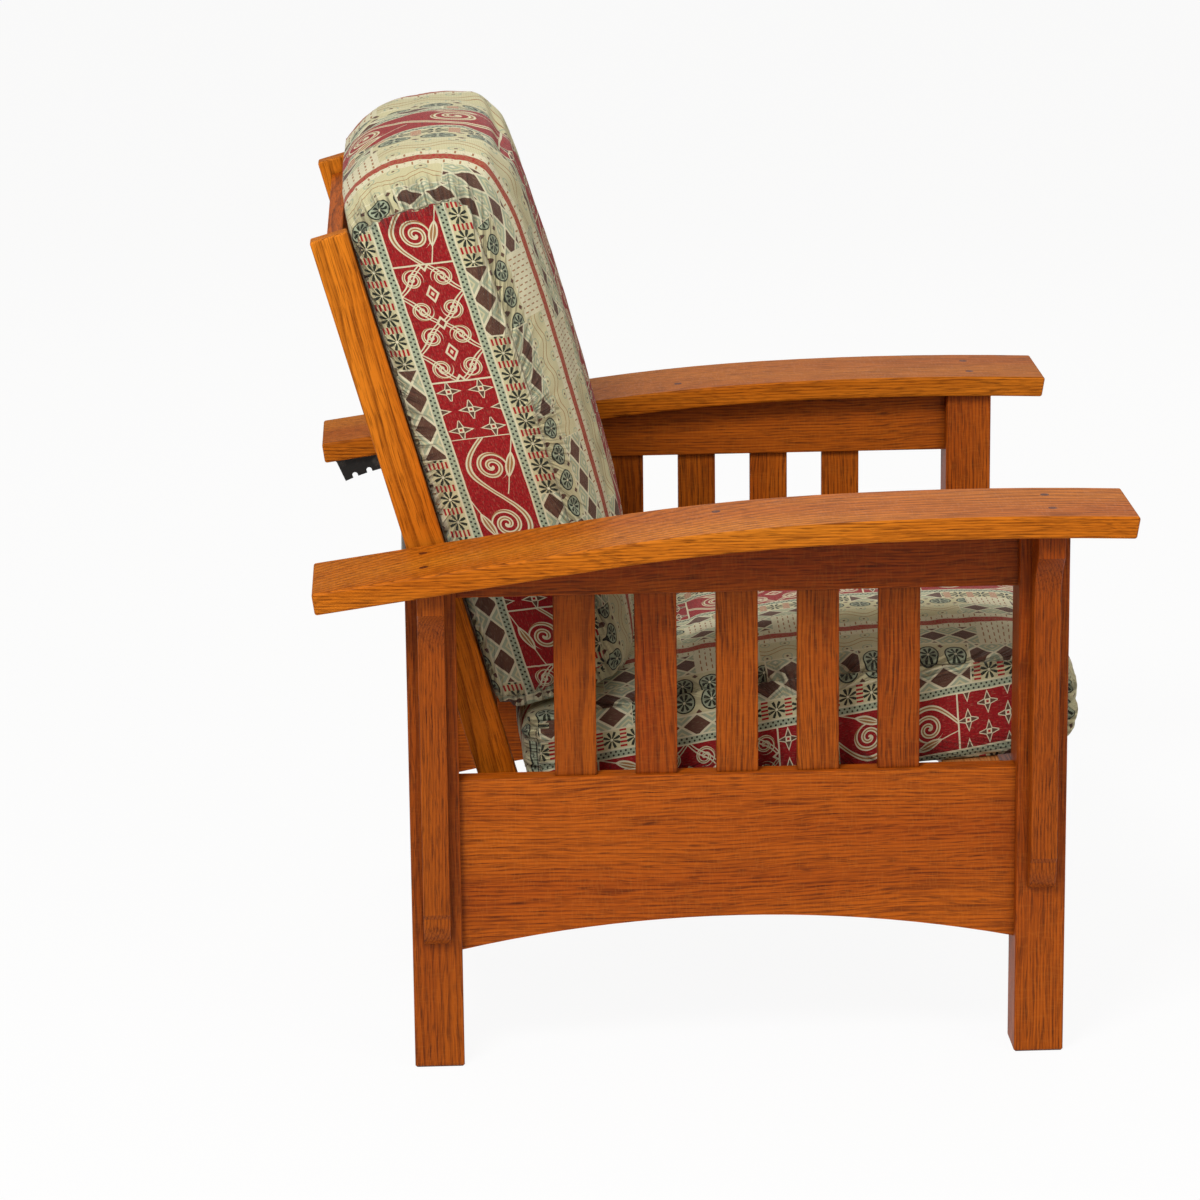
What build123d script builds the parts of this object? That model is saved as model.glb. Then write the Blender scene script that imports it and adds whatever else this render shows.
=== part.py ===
from build123d import *
import math
import os

os.makedirs("parts", exist_ok=True)

# All sizes are millimetres. +Z is up, the chair faces -Y, and the sitter's left is +X.

# Legs
leg_size = 54.0
leg_outer_x = 349.0
front_leg_front_y = -372.0
rear_leg_rear_y = 338.5
leg_ease = 2.5
leg_foot_ease = 2.0

# Bowed arms
arm_outer_x = 415.0
arm_inner_x = 283.0
arm_thickness = 24.0
arm_half_length = 436.0
arm_front_top_z = 618.5
arm_crown_y = -270.0
arm_crown_top_z = 621.8
arm_bend_start_y = -104.0
arm_bend_start_top_z = 618.5
arm_bend_end_y = 140.0
arm_bend_end_top_z = 596.5
arm_front_undercut = 4.0
arm_rear_undercut = 3.4
arm_ease = 3.0

# Plugs and screws that hold the arms down
plug_radius = 4.8
plug_depth = 8.0
plug_leg_x = 316.0
plug_corbel_x = 376.0
front_plug_y = -348.0
middle_plug_y = 5.0
rear_plug_y = 318.0
arm_screw_head_radius = 4.4
arm_screw_head_height = 4.0
arm_screw_radius = 2.5
arm_screw_length = 40.0

# Side rails and slats
rail_thickness = 25.0
rail_recess = 14.0
lower_rail_bottom_z = 130.0
lower_rail_top_z = 323.0
rail_arch_rise = 31.5
upper_rail_bottom_z = 526.0
rail_ease = 1.5
rail_tenon_thickness = 10.0
rail_tenon_length = 30.0
lower_tenon_bottom_z = 165.0
lower_tenon_top_z = 300.0
upper_tenon_bottom_z = 533.0
upper_tenon_top_z = 546.0
slat_count = 5
slat_width = 45.0
slat_thickness = 11.0
slat_pitch = 87.4
slat_ease = 1.2
slat_tenon_width = 33.0
slat_tenon_thickness = 6.0
slat_tenon_length = 12.0

# Corbels under the arms
corbel_width = 29.0
corbel_length = 407.0
corbel_top_reach = 50.0
corbel_nose_height = 26.0
corbel_waist_reach = 24.0
corbel_waist_drop = 84.0
corbel_cove_reach = 30.0
corbel_cove_drop = 50.0
corbel_knuckle_reach = 22.0
corbel_knuckle_rise = 39.0
corbel_toe_reach = 18.5
corbel_toe_rise = 33.0
corbel_toe_turn_reach = 13.0
corbel_toe_turn_rise = 11.0
corbel_toe_end_reach = 3.0
corbel_ease = 1.5

# Front and rear seat rails
front_rail_recess = 14.0
front_rail_drop = 2.0
rear_rail_front_y = 306.0
rear_rail_thickness = 22.0
rear_rail_bottom_z = 140.0
rear_rail_top_z = 236.0
cross_tenon_length = 18.0
cross_tenon_inset = 20.0

# Seat deck
seat_slope = 4.0
deck_front_y = -330.0
deck_front_z = 321.0
deck_slat_thickness = 12.0
deck_slat_width = 62.0
deck_slat_count = 5
deck_slat_first_y = -275.0
deck_slat_rear_inset = 48.0
deck_slat_end_gap = 2.0
cleat_width = 20.0
cleat_height = 26.0
cleat_front_gap = 1.0
cleat_pivot_gap = 104.0

# Back frame, measured from the pivot in its own upright axes
pivot_y = 309.0
pivot_z = 283.5
rest_lean = 15.8
recline_travel = 29.4
position_count = 8
stile_leg_gap = 22.0
stile_thickness = 26.0
stile_rear_setback = 51.0
stile_depth = 41.0
stile_top = 628.0
stile_bottom = -35.0
stile_ease = 2.5
back_rail_thickness = 18.0
back_rail_height = 60.0
back_top_rail_drop = 18.0
back_bottom_rail_bottom = 18.0
back_rail_tenon_length = 16.0
back_rail_tenon_inset = 8.0
back_rail_tenon_thickness = 10.0
back_slat_count = 5
back_slat_width = 45.0
back_slat_thickness = 10.0
back_slat_pitch = 84.0
back_slat_tenon_length = 12.0
back_slat_tenon_inset = 6.0
back_slat_tenon_thickness = 6.0

# Pivot hardware
running_clearance = 0.05
side_play = 0.3
hinge_plate_thickness = 4.0
hinge_plate_width = 36.0
hinge_plate_height = 76.0
hinge_plate_screw_inset = 8.0
hinge_boss_radius = 11.0
hinge_arm_thickness = 5.0
hinge_arm_hub_radius = 14.0
hinge_arm_neck = 10.0
hinge_arm_foot_front = 88.0
hinge_arm_foot_rear = 54.0
hinge_arm_foot_bottom = -33.0
hinge_arm_foot_top = 5.0
hinge_arm_corner = 5.0
hinge_arm_screw_inset = 8.0
bolt_radius = 5.0
bolt_head_radius = 9.0
bolt_head_height = 5.5
bolt_thread_radius = 4.0
bolt_end_gap = 2.5

# Notched racks under the arms
rack_thickness = 3.0
rack_front_y = 266.0
rack_rear_top_y = 420.0
rack_flange_width = 22.0
rack_flange_gap = 2.5
rack_rear_angle = 24.0
latch_angle = -8.5
rack_web_depth = 44.5
notch_centre_depth = 2.5
notch_half_width = 3.3
rack_leg_screw_y = (298.0, 325.0)
rack_leg_screw_drop = 11.0
rack_flange_screw_y = (356.0, 382.0, 408.0)
rack_corner = 3.0

# Release latch on the back
latch_pin_radius = 3.0
latch_pivot_distance = 32.0
latch_bar_back = 33.0
latch_bar_drop = 2.5
latch_release = 12.0
lever_thickness = 4.0
lever_offset = 3.5
lever_half_width = 8.0
lever_pin_half_width = 5.0
lever_pin_end_gap = 0.5
release_bar_radius = 5.0
latch_screw_radius = 4.0
latch_screw_depth = 18.0
latch_screw_head_radius = 7.0
latch_screw_head_height = 3.5

# Wood screws for the steel parts
wood_screw_radius = 2.0
wood_screw_length = 16.0
wood_screw_head_radius = 4.0
wood_screw_head_height = 2.4
long_screw_length = 28.0
cleat_screw_y = (-270.0, -120.0, 30.0, 170.0)

# Seat cushion
cushion_gap = 0.4
seat_leg_gap = 9.0
seat_rear_bottom_y = 205.0
seat_rear_top_y = 222.0
seat_rear_top_z = 372.0
seat_front_y = -371.0
seat_front_top_z = 438.0
seat_top_crown = 34.0
seat_top_swell = 12.0
seat_front_crown = 27.0
seat_rear_crown = 5.0
seat_corner = 20.0
seat_side_draw = 16.0
seat_edge_draw = 5.0

# Back cushion, in the axes of the back frame
back_cushion_inset = 5.0
back_cushion_rear = 92.9
back_cushion_front = 226.0
back_cushion_bottom = 64.8
back_cushion_top = 640.0
back_front_crown = 30.0
back_front_swell = 34.0
back_top_crown = 14.0
back_top_swell = 36.0
back_rear_crown = 0.8
back_bottom_crown = 1.0
back_cushion_corner = 24.0
back_side_draw = 14.0
back_edge_draw = 4.0

# Shares that set where the cushion sections stand and how full they are
edge_station_share = 0.965
shoulder_station_share = 0.86
middle_station_share = 0.45
side_fullness_share = 0.42
shoulder_fullness_share = 0.72
middle_fullness_share = 0.94
corner_turn_share = 0.3

# Sizes that follow from the ones above
leg_inner_x = leg_outer_x - leg_size
front_leg_rear_y = front_leg_front_y + leg_size
rear_leg_front_y = rear_leg_rear_y - leg_size
rail_outer_x = leg_outer_x - rail_recess
rail_inner_x = rail_outer_x - rail_thickness
rail_mid_x = (rail_outer_x + rail_inner_x) / 2
rail_mid_y = (front_leg_rear_y + rear_leg_front_y) / 2
leg_mid_x = (leg_outer_x + leg_inner_x) / 2
front_leg_mid_y = (front_leg_front_y + front_leg_rear_y) / 2
rear_leg_mid_y = (rear_leg_front_y + rear_leg_rear_y) / 2
corbel_knuckle_drop = corbel_length - corbel_knuckle_rise
corbel_toe_drop = corbel_length - corbel_toe_rise
corbel_toe_turn_drop = corbel_length - corbel_toe_turn_rise
stile_outer_x = leg_inner_x - stile_leg_gap
stile_inner_x = stile_outer_x - stile_thickness
stile_mid_y = -(stile_rear_setback + stile_depth / 2)
rack_tip_radius = arm_bend_end_top_z - arm_thickness - pivot_z - rack_web_depth
latch_radius = rack_tip_radius + notch_centre_depth
bolt_thread_length = rail_mid_x - rail_tenon_thickness / 2 - leg_inner_x - bolt_end_gap
seat_half_width = leg_inner_x - seat_leg_gap
back_cushion_half_width = stile_outer_x - back_cushion_inset
cleat_rear_y = pivot_y - cleat_pivot_gap
deck_slat_last_y = cleat_rear_y - deck_slat_rear_inset
deck_slat_pitch = (deck_slat_last_y - deck_slat_first_y) / (deck_slat_count - 1)
seat_slope_rad = math.radians(seat_slope)


def block(x0, x1, y0, y1, z0, z1):
    """Return a box between two corners."""
    size = (x1 - x0, y1 - y0, z1 - z0)
    middle = ((x0 + x1) / 2, (y0 + y1) / 2, (z0 + z1) / 2)
    return Pos(*middle) * Box(*size)


def rod_x(radius, x0, x1, y, z):
    """Return a round bar that runs along X."""
    turned = Rot(Y=90) * Cylinder(radius, x1 - x0)
    return Pos((x0 + x1) / 2, y, z) * turned


def rod_z(radius, z0, z1, x, y):
    """Return a round bar that runs along Z."""
    return Pos(x, y, (z0 + z1) / 2) * Cylinder(radius, z1 - z0)


def side_profile(face, x0, x1):
    """Extrude a face drawn in Y and Z from x0 to x1."""
    return Pos(x0, 0, 0) * extrude(face, x1 - x0, dir=(1, 0, 0))


def yz_polygon(points):
    """Return a flat face through points given as Y and Z."""
    return Plane.YZ * make_face(Polyline(*points, close=True))


def mirrored(shape):
    """Return the copy on the other side of the chair."""
    return mirror(shape, about=Plane.YZ)


def both_sides(shapes):
    """Return one group with the shapes and their mirror copies."""
    return Compound(children=[*shapes, *[mirrored(shape) for shape in shapes]])


def export_pair(shape, name):
    """Export a left piece and its mirror copy on the right."""
    export_step(shape, f"parts/{name}_left.step")
    export_step(mirrored(shape), f"parts/{name}_right.step")


def place_back(shape):
    """Carry a shape from the back frame's own axes to its rest pose."""
    return Pos(0, pivot_y, pivot_z) * Rot(X=-rest_lean) * shape


def polar_point(radius, degrees):
    """Return Y and Z of a point around the pivot, angle from straight up."""
    turn = math.radians(degrees)
    return (pivot_y + radius * math.sin(turn), pivot_z + radius * math.cos(turn))


# Arm curve


def arm_path(drop):
    """Return the arm's upper curve lowered by drop, front to rear."""
    first = ThreePointArc(
        (-arm_half_length, arm_front_top_z - drop),
        (arm_crown_y, arm_crown_top_z - drop),
        (arm_bend_start_y, arm_bend_start_top_z - drop),
    )
    bend = TangentArc(
        first @ 1,
        (arm_bend_end_y, arm_bend_end_top_z - drop),
        tangent=first % 1,
    )
    heading = bend % 1
    run = (arm_half_length - arm_bend_end_y) / heading.X
    tail = Line(bend @ 1, bend @ 1 + heading * run)
    return [first, bend, tail]


def closed_below(path, floor_points):
    """Close a curve with straight lines through the given points."""
    start = path[0] @ 0
    end = path[-1] @ 1
    stops = [end, *floor_points, start]
    edges = [Line(a, b) for a, b in zip(stops, stops[1:])]
    return Plane.YZ * make_face([*path, *edges])


def arm_band(x0, x1):
    """Return the arm's full thickness with square ends."""
    upper = arm_path(0)
    lower = arm_path(arm_thickness)
    ends = [Line(upper[-1] @ 1, lower[-1] @ 1), Line(lower[0] @ 0, upper[0] @ 0)]
    return side_profile(Plane.YZ * make_face([*upper, *ends, *lower]), x0, x1)


def under_arm(x0, x1):
    """Return everything below the arm down to the floor."""
    lower = arm_path(arm_thickness)
    corners = [(arm_half_length, 0), (-arm_half_length, 0)]
    return side_profile(closed_below(lower, corners), x0, x1)


def under_arm_z(y):
    """Return the height of the straight rear part of the arm's underside."""
    bend = arm_path(arm_thickness)[1]
    heading = bend % 1
    return (bend @ 1).Y + (y - (bend @ 1).X) * heading.Y / heading.X


def trim_end(shape, top_y, bottom_y, top_z, bottom_z, far_y):
    """Cut an arm end back along a slanted line."""
    wedge = yz_polygon([(top_y, top_z), (bottom_y, bottom_z), (far_y, bottom_z), (far_y, top_z)])
    return shape - side_profile(wedge, 0, arm_outer_x + leg_size)


def plug_places():
    """Return X and Y of the plugs on the left arm."""
    return [
        (plug_leg_x, front_plug_y),
        (plug_corbel_x, front_plug_y),
        (rail_mid_x, middle_plug_y),
        (plug_leg_x, rear_plug_y),
        (plug_corbel_x, rear_plug_y),
    ]


def arm_top_z(y):
    """Return the height of the arm's upper face near a plug."""
    for edge in arm_path(0):
        if (edge @ 0).X <= y <= (edge @ 1).X:
            share = (y - (edge @ 0).X) / ((edge @ 1).X - (edge @ 0).X)
            return (edge @ share).Y
    return arm_front_top_z


def arm_screw(x, y, slack):
    """Return an arm screw, or its hole when slack is not zero."""
    head_top = arm_top_z(y) - plug_depth
    head_bottom = head_top - arm_screw_head_height
    head = rod_z(arm_screw_head_radius + slack, head_bottom, head_top, x, y)
    shank = rod_z(arm_screw_radius + slack, head_bottom - arm_screw_length, head_bottom, x, y)
    return head + shank


def arm_plug(x, y, slack):
    """Return the wooden plug over an arm screw, or its bore."""
    top = arm_top_z(y)
    return rod_z(plug_radius + slack, top - plug_depth, top + plug_depth, x, y)


def arm():
    """Return the left bowed arm with its plug bores."""
    body = arm_band(arm_inner_x, arm_outer_x)
    front_bottom_z = arm_front_top_z - arm_thickness
    body = trim_end(
        body,
        -arm_half_length,
        -arm_half_length + arm_front_undercut,
        arm_front_top_z,
        front_bottom_z,
        -arm_half_length - leg_size,
    )
    rear_bottom_z = under_arm_z(arm_half_length)
    body = trim_end(
        body,
        arm_half_length,
        arm_half_length - arm_rear_undercut,
        rear_bottom_z + arm_thickness,
        rear_bottom_z,
        arm_half_length + leg_size,
    )
    body = fillet(body.edges(), arm_ease)
    for x, y in plug_places():
        body -= arm_plug(x, y, running_clearance) + arm_screw(x, y, running_clearance)
    for screw in rack_flange_screws(running_clearance):
        body -= screw
    return body


def arm_plugs():
    """Return all plugs, cut flush with the upper face of the arms."""
    band = arm_band(arm_inner_x, arm_outer_x)
    return both_sides([arm_plug(x, y, 0) & band for x, y in plug_places()])


def arm_screws():
    """Return all the screws under the plugs."""
    return both_sides([arm_screw(x, y, 0) for x, y in plug_places()])


# Legs, rails and slats


def leg_post(y0, y1):
    """Return a plain leg, eased and cut to the underside of the arm."""
    post = block(leg_inner_x, leg_outer_x, y0, y1, 0, arm_crown_top_z)
    post = fillet(post.edges().filter_by(Axis.Z), leg_ease)
    post = chamfer(post.faces().sort_by(Axis.Z)[0].edges(), leg_foot_ease)
    return post & under_arm(leg_inner_x, leg_outer_x)


def side_tenons(y_shoulder, outward):
    """Return the two side rail tenons that enter one leg."""
    y_tip = y_shoulder + outward * rail_tenon_length
    y0, y1 = min(y_shoulder, y_tip), max(y_shoulder, y_tip)
    x0 = rail_mid_x - rail_tenon_thickness / 2
    x1 = rail_mid_x + rail_tenon_thickness / 2
    lower = block(x0, x1, y0, y1, lower_tenon_bottom_z, lower_tenon_top_z)
    upper = block(x0, x1, y0, y1, upper_tenon_bottom_z, upper_tenon_top_z)
    return lower, upper


def cross_tenon(y0, y1, z0, z1):
    """Return the tenon of a front or rear seat rail on the left."""
    y_mid = (y0 + y1) / 2
    half = rail_tenon_thickness / 2
    return block(
        leg_inner_x,
        leg_inner_x + cross_tenon_length,
        y_mid - half,
        y_mid + half,
        z0 + cross_tenon_inset,
        z1 - cross_tenon_inset,
    )


def front_rail_span():
    """Return the front and rear Y of the front seat rail."""
    return front_leg_front_y + front_rail_recess, front_leg_front_y + front_rail_recess + rail_thickness


def front_rail_tenon():
    """Return the left tenon of the front seat rail."""
    y0, y1 = front_rail_span()
    return cross_tenon(y0, y1, lower_rail_bottom_z + rail_arch_rise, lower_rail_top_z)


def rear_rail_tenon():
    """Return the left tenon of the rear seat rail."""
    y1 = rear_rail_front_y + rear_rail_thickness
    return cross_tenon(rear_rail_front_y, y1, rear_rail_bottom_z, rear_rail_top_z)


def front_leg():
    """Return the left front leg."""
    post = leg_post(front_leg_front_y, front_leg_rear_y)
    for tenon in side_tenons(front_leg_rear_y, -1):
        post -= tenon
    post -= front_rail_tenon()
    return post - arm_screw(plug_leg_x, front_plug_y, running_clearance)


def rear_leg():
    """Return the left rear leg."""
    post = leg_post(rear_leg_front_y, rear_leg_rear_y)
    for tenon in side_tenons(rear_leg_front_y, 1):
        post -= tenon
    post -= rear_rail_tenon()
    post -= arm_screw(plug_leg_x, rear_plug_y, running_clearance)
    post -= hinge_bolt(running_clearance)
    for screw in hinge_plate_screws(running_clearance) + rack_leg_screws(running_clearance):
        post -= screw
    return post


def arched_face(y0, y1):
    """Return the outline of an arched rail in Y and Z."""
    top = [(y1, lower_rail_bottom_z), (y1, lower_rail_top_z), (y0, lower_rail_top_z)]
    stops = [*top, (y0, lower_rail_bottom_z)]
    lines = [Line(a, b) for a, b in zip(stops, stops[1:])]
    arch = ThreePointArc(
        (y0, lower_rail_bottom_z),
        ((y0 + y1) / 2, lower_rail_bottom_z + rail_arch_rise),
        (y1, lower_rail_bottom_z),
    )
    return make_face([*lines, arch])


def slat_places():
    """Return the middle Y of each side slat, front to rear."""
    first = rail_mid_y - slat_pitch * (slat_count - 1) / 2
    return [first + slat_pitch * n for n in range(slat_count)]


def slat_tenon(y, z0, z1):
    """Return the tenon on one end of a side slat."""
    return block(
        rail_mid_x - slat_tenon_thickness / 2,
        rail_mid_x + slat_tenon_thickness / 2,
        y - slat_tenon_width / 2,
        y + slat_tenon_width / 2,
        z0,
        z1,
    )


def side_slat(y):
    """Return one left side slat with both tenons."""
    x0 = rail_mid_x - slat_thickness / 2
    x1 = rail_mid_x + slat_thickness / 2
    body = block(x0, x1, y - slat_width / 2, y + slat_width / 2, lower_rail_top_z, upper_rail_bottom_z)
    body = fillet(body.edges().filter_by(Axis.Z), slat_ease)
    body += slat_tenon(y, lower_rail_top_z - slat_tenon_length, lower_rail_top_z)
    return body + slat_tenon(y, upper_rail_bottom_z, upper_rail_bottom_z + slat_tenon_length)


def lower_side_rail():
    """Return the left arched rail between the legs."""
    face = Plane.YZ * arched_face(front_leg_rear_y, rear_leg_front_y)
    body = side_profile(face, rail_inner_x, rail_outer_x)
    body = fillet(body.faces().sort_by(Axis.Z)[-1].edges().filter_by(Axis.Y), rail_ease)
    body += side_tenons(front_leg_rear_y, -1)[0]
    body += side_tenons(rear_leg_front_y, 1)[0]
    for y in slat_places():
        body -= slat_tenon(y, lower_rail_top_z - slat_tenon_length, lower_rail_top_z)
    for screw in cleat_screws(running_clearance):
        body -= screw
    return body


def upper_side_rail():
    """Return the left rail that follows the underside of the arm."""
    body = block(
        rail_inner_x,
        rail_outer_x,
        front_leg_rear_y,
        rear_leg_front_y,
        upper_rail_bottom_z,
        arm_crown_top_z,
    )
    body = fillet(body.faces().sort_by(Axis.Z)[0].edges().filter_by(Axis.Y), rail_ease)
    body &= under_arm(rail_inner_x, rail_outer_x)
    body += side_tenons(front_leg_rear_y, -1)[1]
    body += side_tenons(rear_leg_front_y, 1)[1]
    for y in slat_places():
        body -= slat_tenon(y, upper_rail_bottom_z, upper_rail_bottom_z + slat_tenon_length)
    return body - arm_screw(rail_mid_x, middle_plug_y, running_clearance)


def front_seat_rail():
    """Return the arched rail between the front legs."""
    y0, y1 = front_rail_span()
    outline = arched_face(-leg_inner_x, leg_inner_x)
    body = Pos(0, y1, 0) * extrude(Plane.XZ * outline, y1 - y0)
    body -= block(-leg_inner_x, leg_inner_x, y0, y1, lower_rail_top_z - front_rail_drop, lower_rail_top_z)
    body = fillet(body.faces().sort_by(Axis.Z)[-1].edges().filter_by(Axis.X), rail_ease)
    tenon = front_rail_tenon()
    return body + tenon + mirrored(tenon)


def rear_seat_rail():
    """Return the plain rail between the rear legs, below the back."""
    y1 = rear_rail_front_y + rear_rail_thickness
    body = block(
        -leg_inner_x,
        leg_inner_x,
        rear_rail_front_y,
        y1,
        rear_rail_bottom_z,
        rear_rail_top_z,
    )
    body = fillet(body.edges().filter_by(Axis.X), rail_ease)
    tenon = rear_rail_tenon()
    return body + tenon + mirrored(tenon)


def corbel(y, screw_y):
    """Return one left corbel centred on a leg."""
    top = arm_crown_top_z
    ceiling = (under_arm(leg_outer_x, arm_outer_x) & block(
        leg_outer_x, arm_outer_x, y - corbel_width / 2, y + corbel_width / 2, 0, top
    )).bounding_box().max.Z

    def spot(reach, fall):
        return (leg_outer_x + reach, ceiling - fall)

    cove = ThreePointArc(
        spot(corbel_top_reach, corbel_nose_height),
        spot(corbel_cove_reach, corbel_cove_drop),
        spot(corbel_waist_reach, corbel_waist_drop),
    )
    toe = ThreePointArc(
        spot(corbel_toe_reach, corbel_toe_drop),
        spot(corbel_toe_turn_reach, corbel_toe_turn_drop),
        spot(corbel_toe_end_reach, corbel_length),
    )
    edges = [
        Line(spot(0, 0), spot(corbel_top_reach, 0)),
        Line(spot(corbel_top_reach, 0), cove @ 0),
        cove,
        Line(cove @ 1, spot(corbel_knuckle_reach, corbel_knuckle_drop)),
        Line(spot(corbel_knuckle_reach, corbel_knuckle_drop), toe @ 0),
        toe,
        Line(toe @ 1, spot(0, corbel_length)),
        Line(spot(0, corbel_length), spot(0, 0)),
    ]
    outline = Plane.XZ * make_face(edges)
    body = Pos(0, y + corbel_width / 2, 0) * extrude(outline, corbel_width)
    outer = body.edges().filter_by(lambda edge: edge.center().X > leg_outer_x + corbel_toe_end_reach)
    rims = outer.filter_by(lambda edge: abs(edge.center().Y - y) > corbel_width / 4)
    body = fillet(rims.filter_by(lambda edge: edge.center().Z < ceiling - leg_foot_ease), corbel_ease)
    body &= under_arm(leg_outer_x, arm_outer_x)
    return body - arm_screw(plug_corbel_x, screw_y, running_clearance)


# Seat deck


def deck_z(y):
    """Return the height of the deck's upper face."""
    return deck_front_z - (y - deck_front_y) * math.tan(seat_slope_rad)


def seat_cleat():
    """Return the left sloping cleat that carries the deck slats."""
    lift = deck_slat_thickness / math.cos(seat_slope_rad)
    y0 = front_leg_rear_y + cleat_front_gap
    tops = [(y, deck_z(y) - lift) for y in (y0, cleat_rear_y)]
    bottoms = [(y, z - cleat_height) for y, z in reversed(tops)]
    body = side_profile(yz_polygon([*tops, *bottoms]), rail_inner_x - cleat_width, rail_inner_x)
    for screw in cleat_screws(running_clearance):
        body -= screw
    for y in deck_places():
        body -= deck_screw(y, running_clearance)
    return body


def on_deck(y, shape):
    """Tilt a shape to the deck and carry it to the deck's upper face."""
    return Pos(0, y, deck_z(y)) * Rot(X=-seat_slope) * shape


def deck_places():
    """Return the middle Y of each deck slat."""
    return [deck_slat_first_y + deck_slat_pitch * n for n in range(deck_slat_count)]


def deck_screw(y, slack):
    """Return the left screw that holds a deck slat, sunk in its face."""
    head = rod_z(wood_screw_head_radius + slack, -wood_screw_head_height, 0, 0, 0)
    shank = rod_z(wood_screw_radius + slack, -long_screw_length, -wood_screw_head_height, 0, 0)
    return Pos(rail_inner_x - cleat_width / 2, 0, 0) * on_deck(y, head + shank)


def deck_slat(y):
    """Return one deck slat, centred across the chair."""
    half = rail_inner_x - deck_slat_end_gap
    flat = Box(2 * half, deck_slat_width, deck_slat_thickness)
    flat = fillet(flat.edges().filter_by(Axis.X), slat_ease)
    body = on_deck(y, Pos(0, 0, -deck_slat_thickness / 2) * flat)
    hole = deck_screw(y, running_clearance)
    return body - hole - mirrored(hole)


# Wood screws


def screw_x(x_head, inward, y, z, slack, length=wood_screw_length):
    """Return a wood screw along X whose head lies on the given face."""
    x_tip = x_head + inward * length
    x_top = x_head - inward * wood_screw_head_height
    shank = rod_x(wood_screw_radius + slack, min(x_head, x_tip), max(x_head, x_tip), y, z)
    head = rod_x(wood_screw_head_radius + slack, min(x_head, x_top), max(x_head, x_top), y, z)
    return shank + head


def screw_up(x, y, slack):
    """Return a wood screw that fastens the rack flange to the arm."""
    face = under_arm_z(y) - rack_thickness
    slope = math.degrees(math.atan2(under_arm_z(y + rack_thickness) - under_arm_z(y), rack_thickness))
    shank = Pos(0, 0, wood_screw_length / 2) * Cylinder(wood_screw_radius + slack, wood_screw_length)
    head = Pos(0, 0, -wood_screw_head_height / 2) * Cylinder(
        wood_screw_head_radius + slack, wood_screw_head_height
    )
    return Pos(x, y, face) * Rot(X=slope) * (shank + head)


def hinge_plate_screws(slack):
    """Return the left hinge plate's four screws."""
    dy = hinge_plate_width / 2 - hinge_plate_screw_inset
    dz = hinge_plate_height / 2 - hinge_plate_screw_inset
    face = leg_inner_x - hinge_plate_thickness
    places = [(a * dy, b * dz) for a in (-1, 1) for b in (-1, 1)]
    return [screw_x(face, 1, rear_leg_mid_y + y, pivot_z + z, slack) for y, z in places]


def rack_leg_screws(slack):
    """Return the left screws from the rack into the rear leg."""
    face = leg_inner_x - rack_thickness
    return [screw_x(face, 1, y, under_arm_z(y) - rack_leg_screw_drop, slack) for y in rack_leg_screw_y]


def rack_flange_screws(slack):
    """Return the left screws from the rack flange into the arm."""
    x = leg_inner_x + rack_flange_width / 2
    return [screw_up(x, y, slack) for y in rack_flange_screw_y]


def cleat_screws(slack):
    """Return the left screws from the cleat into the side rail."""
    face = rail_inner_x - cleat_width + wood_screw_head_height
    drop = deck_slat_thickness + cleat_height / 2
    return [screw_x(face, 1, y, deck_z(y) - drop, slack, long_screw_length) for y in cleat_screw_y]


def frame_screws():
    """Return every wood screw in the fixed frame."""
    screws = hinge_plate_screws(0) + rack_leg_screws(0) + rack_flange_screws(0)
    return both_sides(screws + cleat_screws(0) + [deck_screw(y, 0) for y in deck_places()])


# Pivot hardware


def hinge_bolt(slack):
    """Return the left pivot bolt, or its hole when slack is not zero."""
    head_x = stile_outer_x - side_play
    head = rod_x(bolt_head_radius + slack, head_x - bolt_head_height, head_x, pivot_y, pivot_z)
    shank = rod_x(bolt_radius + slack, head_x, leg_inner_x, pivot_y, pivot_z)
    thread = rod_x(
        bolt_thread_radius + slack, leg_inner_x, leg_inner_x + bolt_thread_length, pivot_y, pivot_z
    )
    return head + shank + thread


def hinge_plate():
    """Return the left fixed hinge plate with its boss."""
    x0 = leg_inner_x - hinge_plate_thickness
    plate = block(
        x0,
        leg_inner_x,
        rear_leg_mid_y - hinge_plate_width / 2,
        rear_leg_mid_y + hinge_plate_width / 2,
        pivot_z - hinge_plate_height / 2,
        pivot_z + hinge_plate_height / 2,
    )
    plate = fillet(plate.edges().filter_by(Axis.X), rack_corner)
    boss_x = stile_outer_x + hinge_arm_thickness + side_play
    plate += rod_x(hinge_boss_radius, boss_x, x0, pivot_y, pivot_z)
    plate -= hinge_bolt(running_clearance)
    for screw in hinge_plate_screws(running_clearance):
        plate -= screw
    return plate


def hinge_arm_screws(slack):
    """Return the left hinge arm's screws in the axes of the back."""
    face = stile_outer_x + hinge_arm_thickness
    inset = hinge_arm_screw_inset
    rows = (hinge_arm_foot_bottom + inset, hinge_arm_foot_top - inset)
    columns = (inset - hinge_arm_foot_front, -hinge_arm_foot_rear - inset)
    return [screw_x(face, -1, y, z, slack) for y in columns for z in rows]


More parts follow.
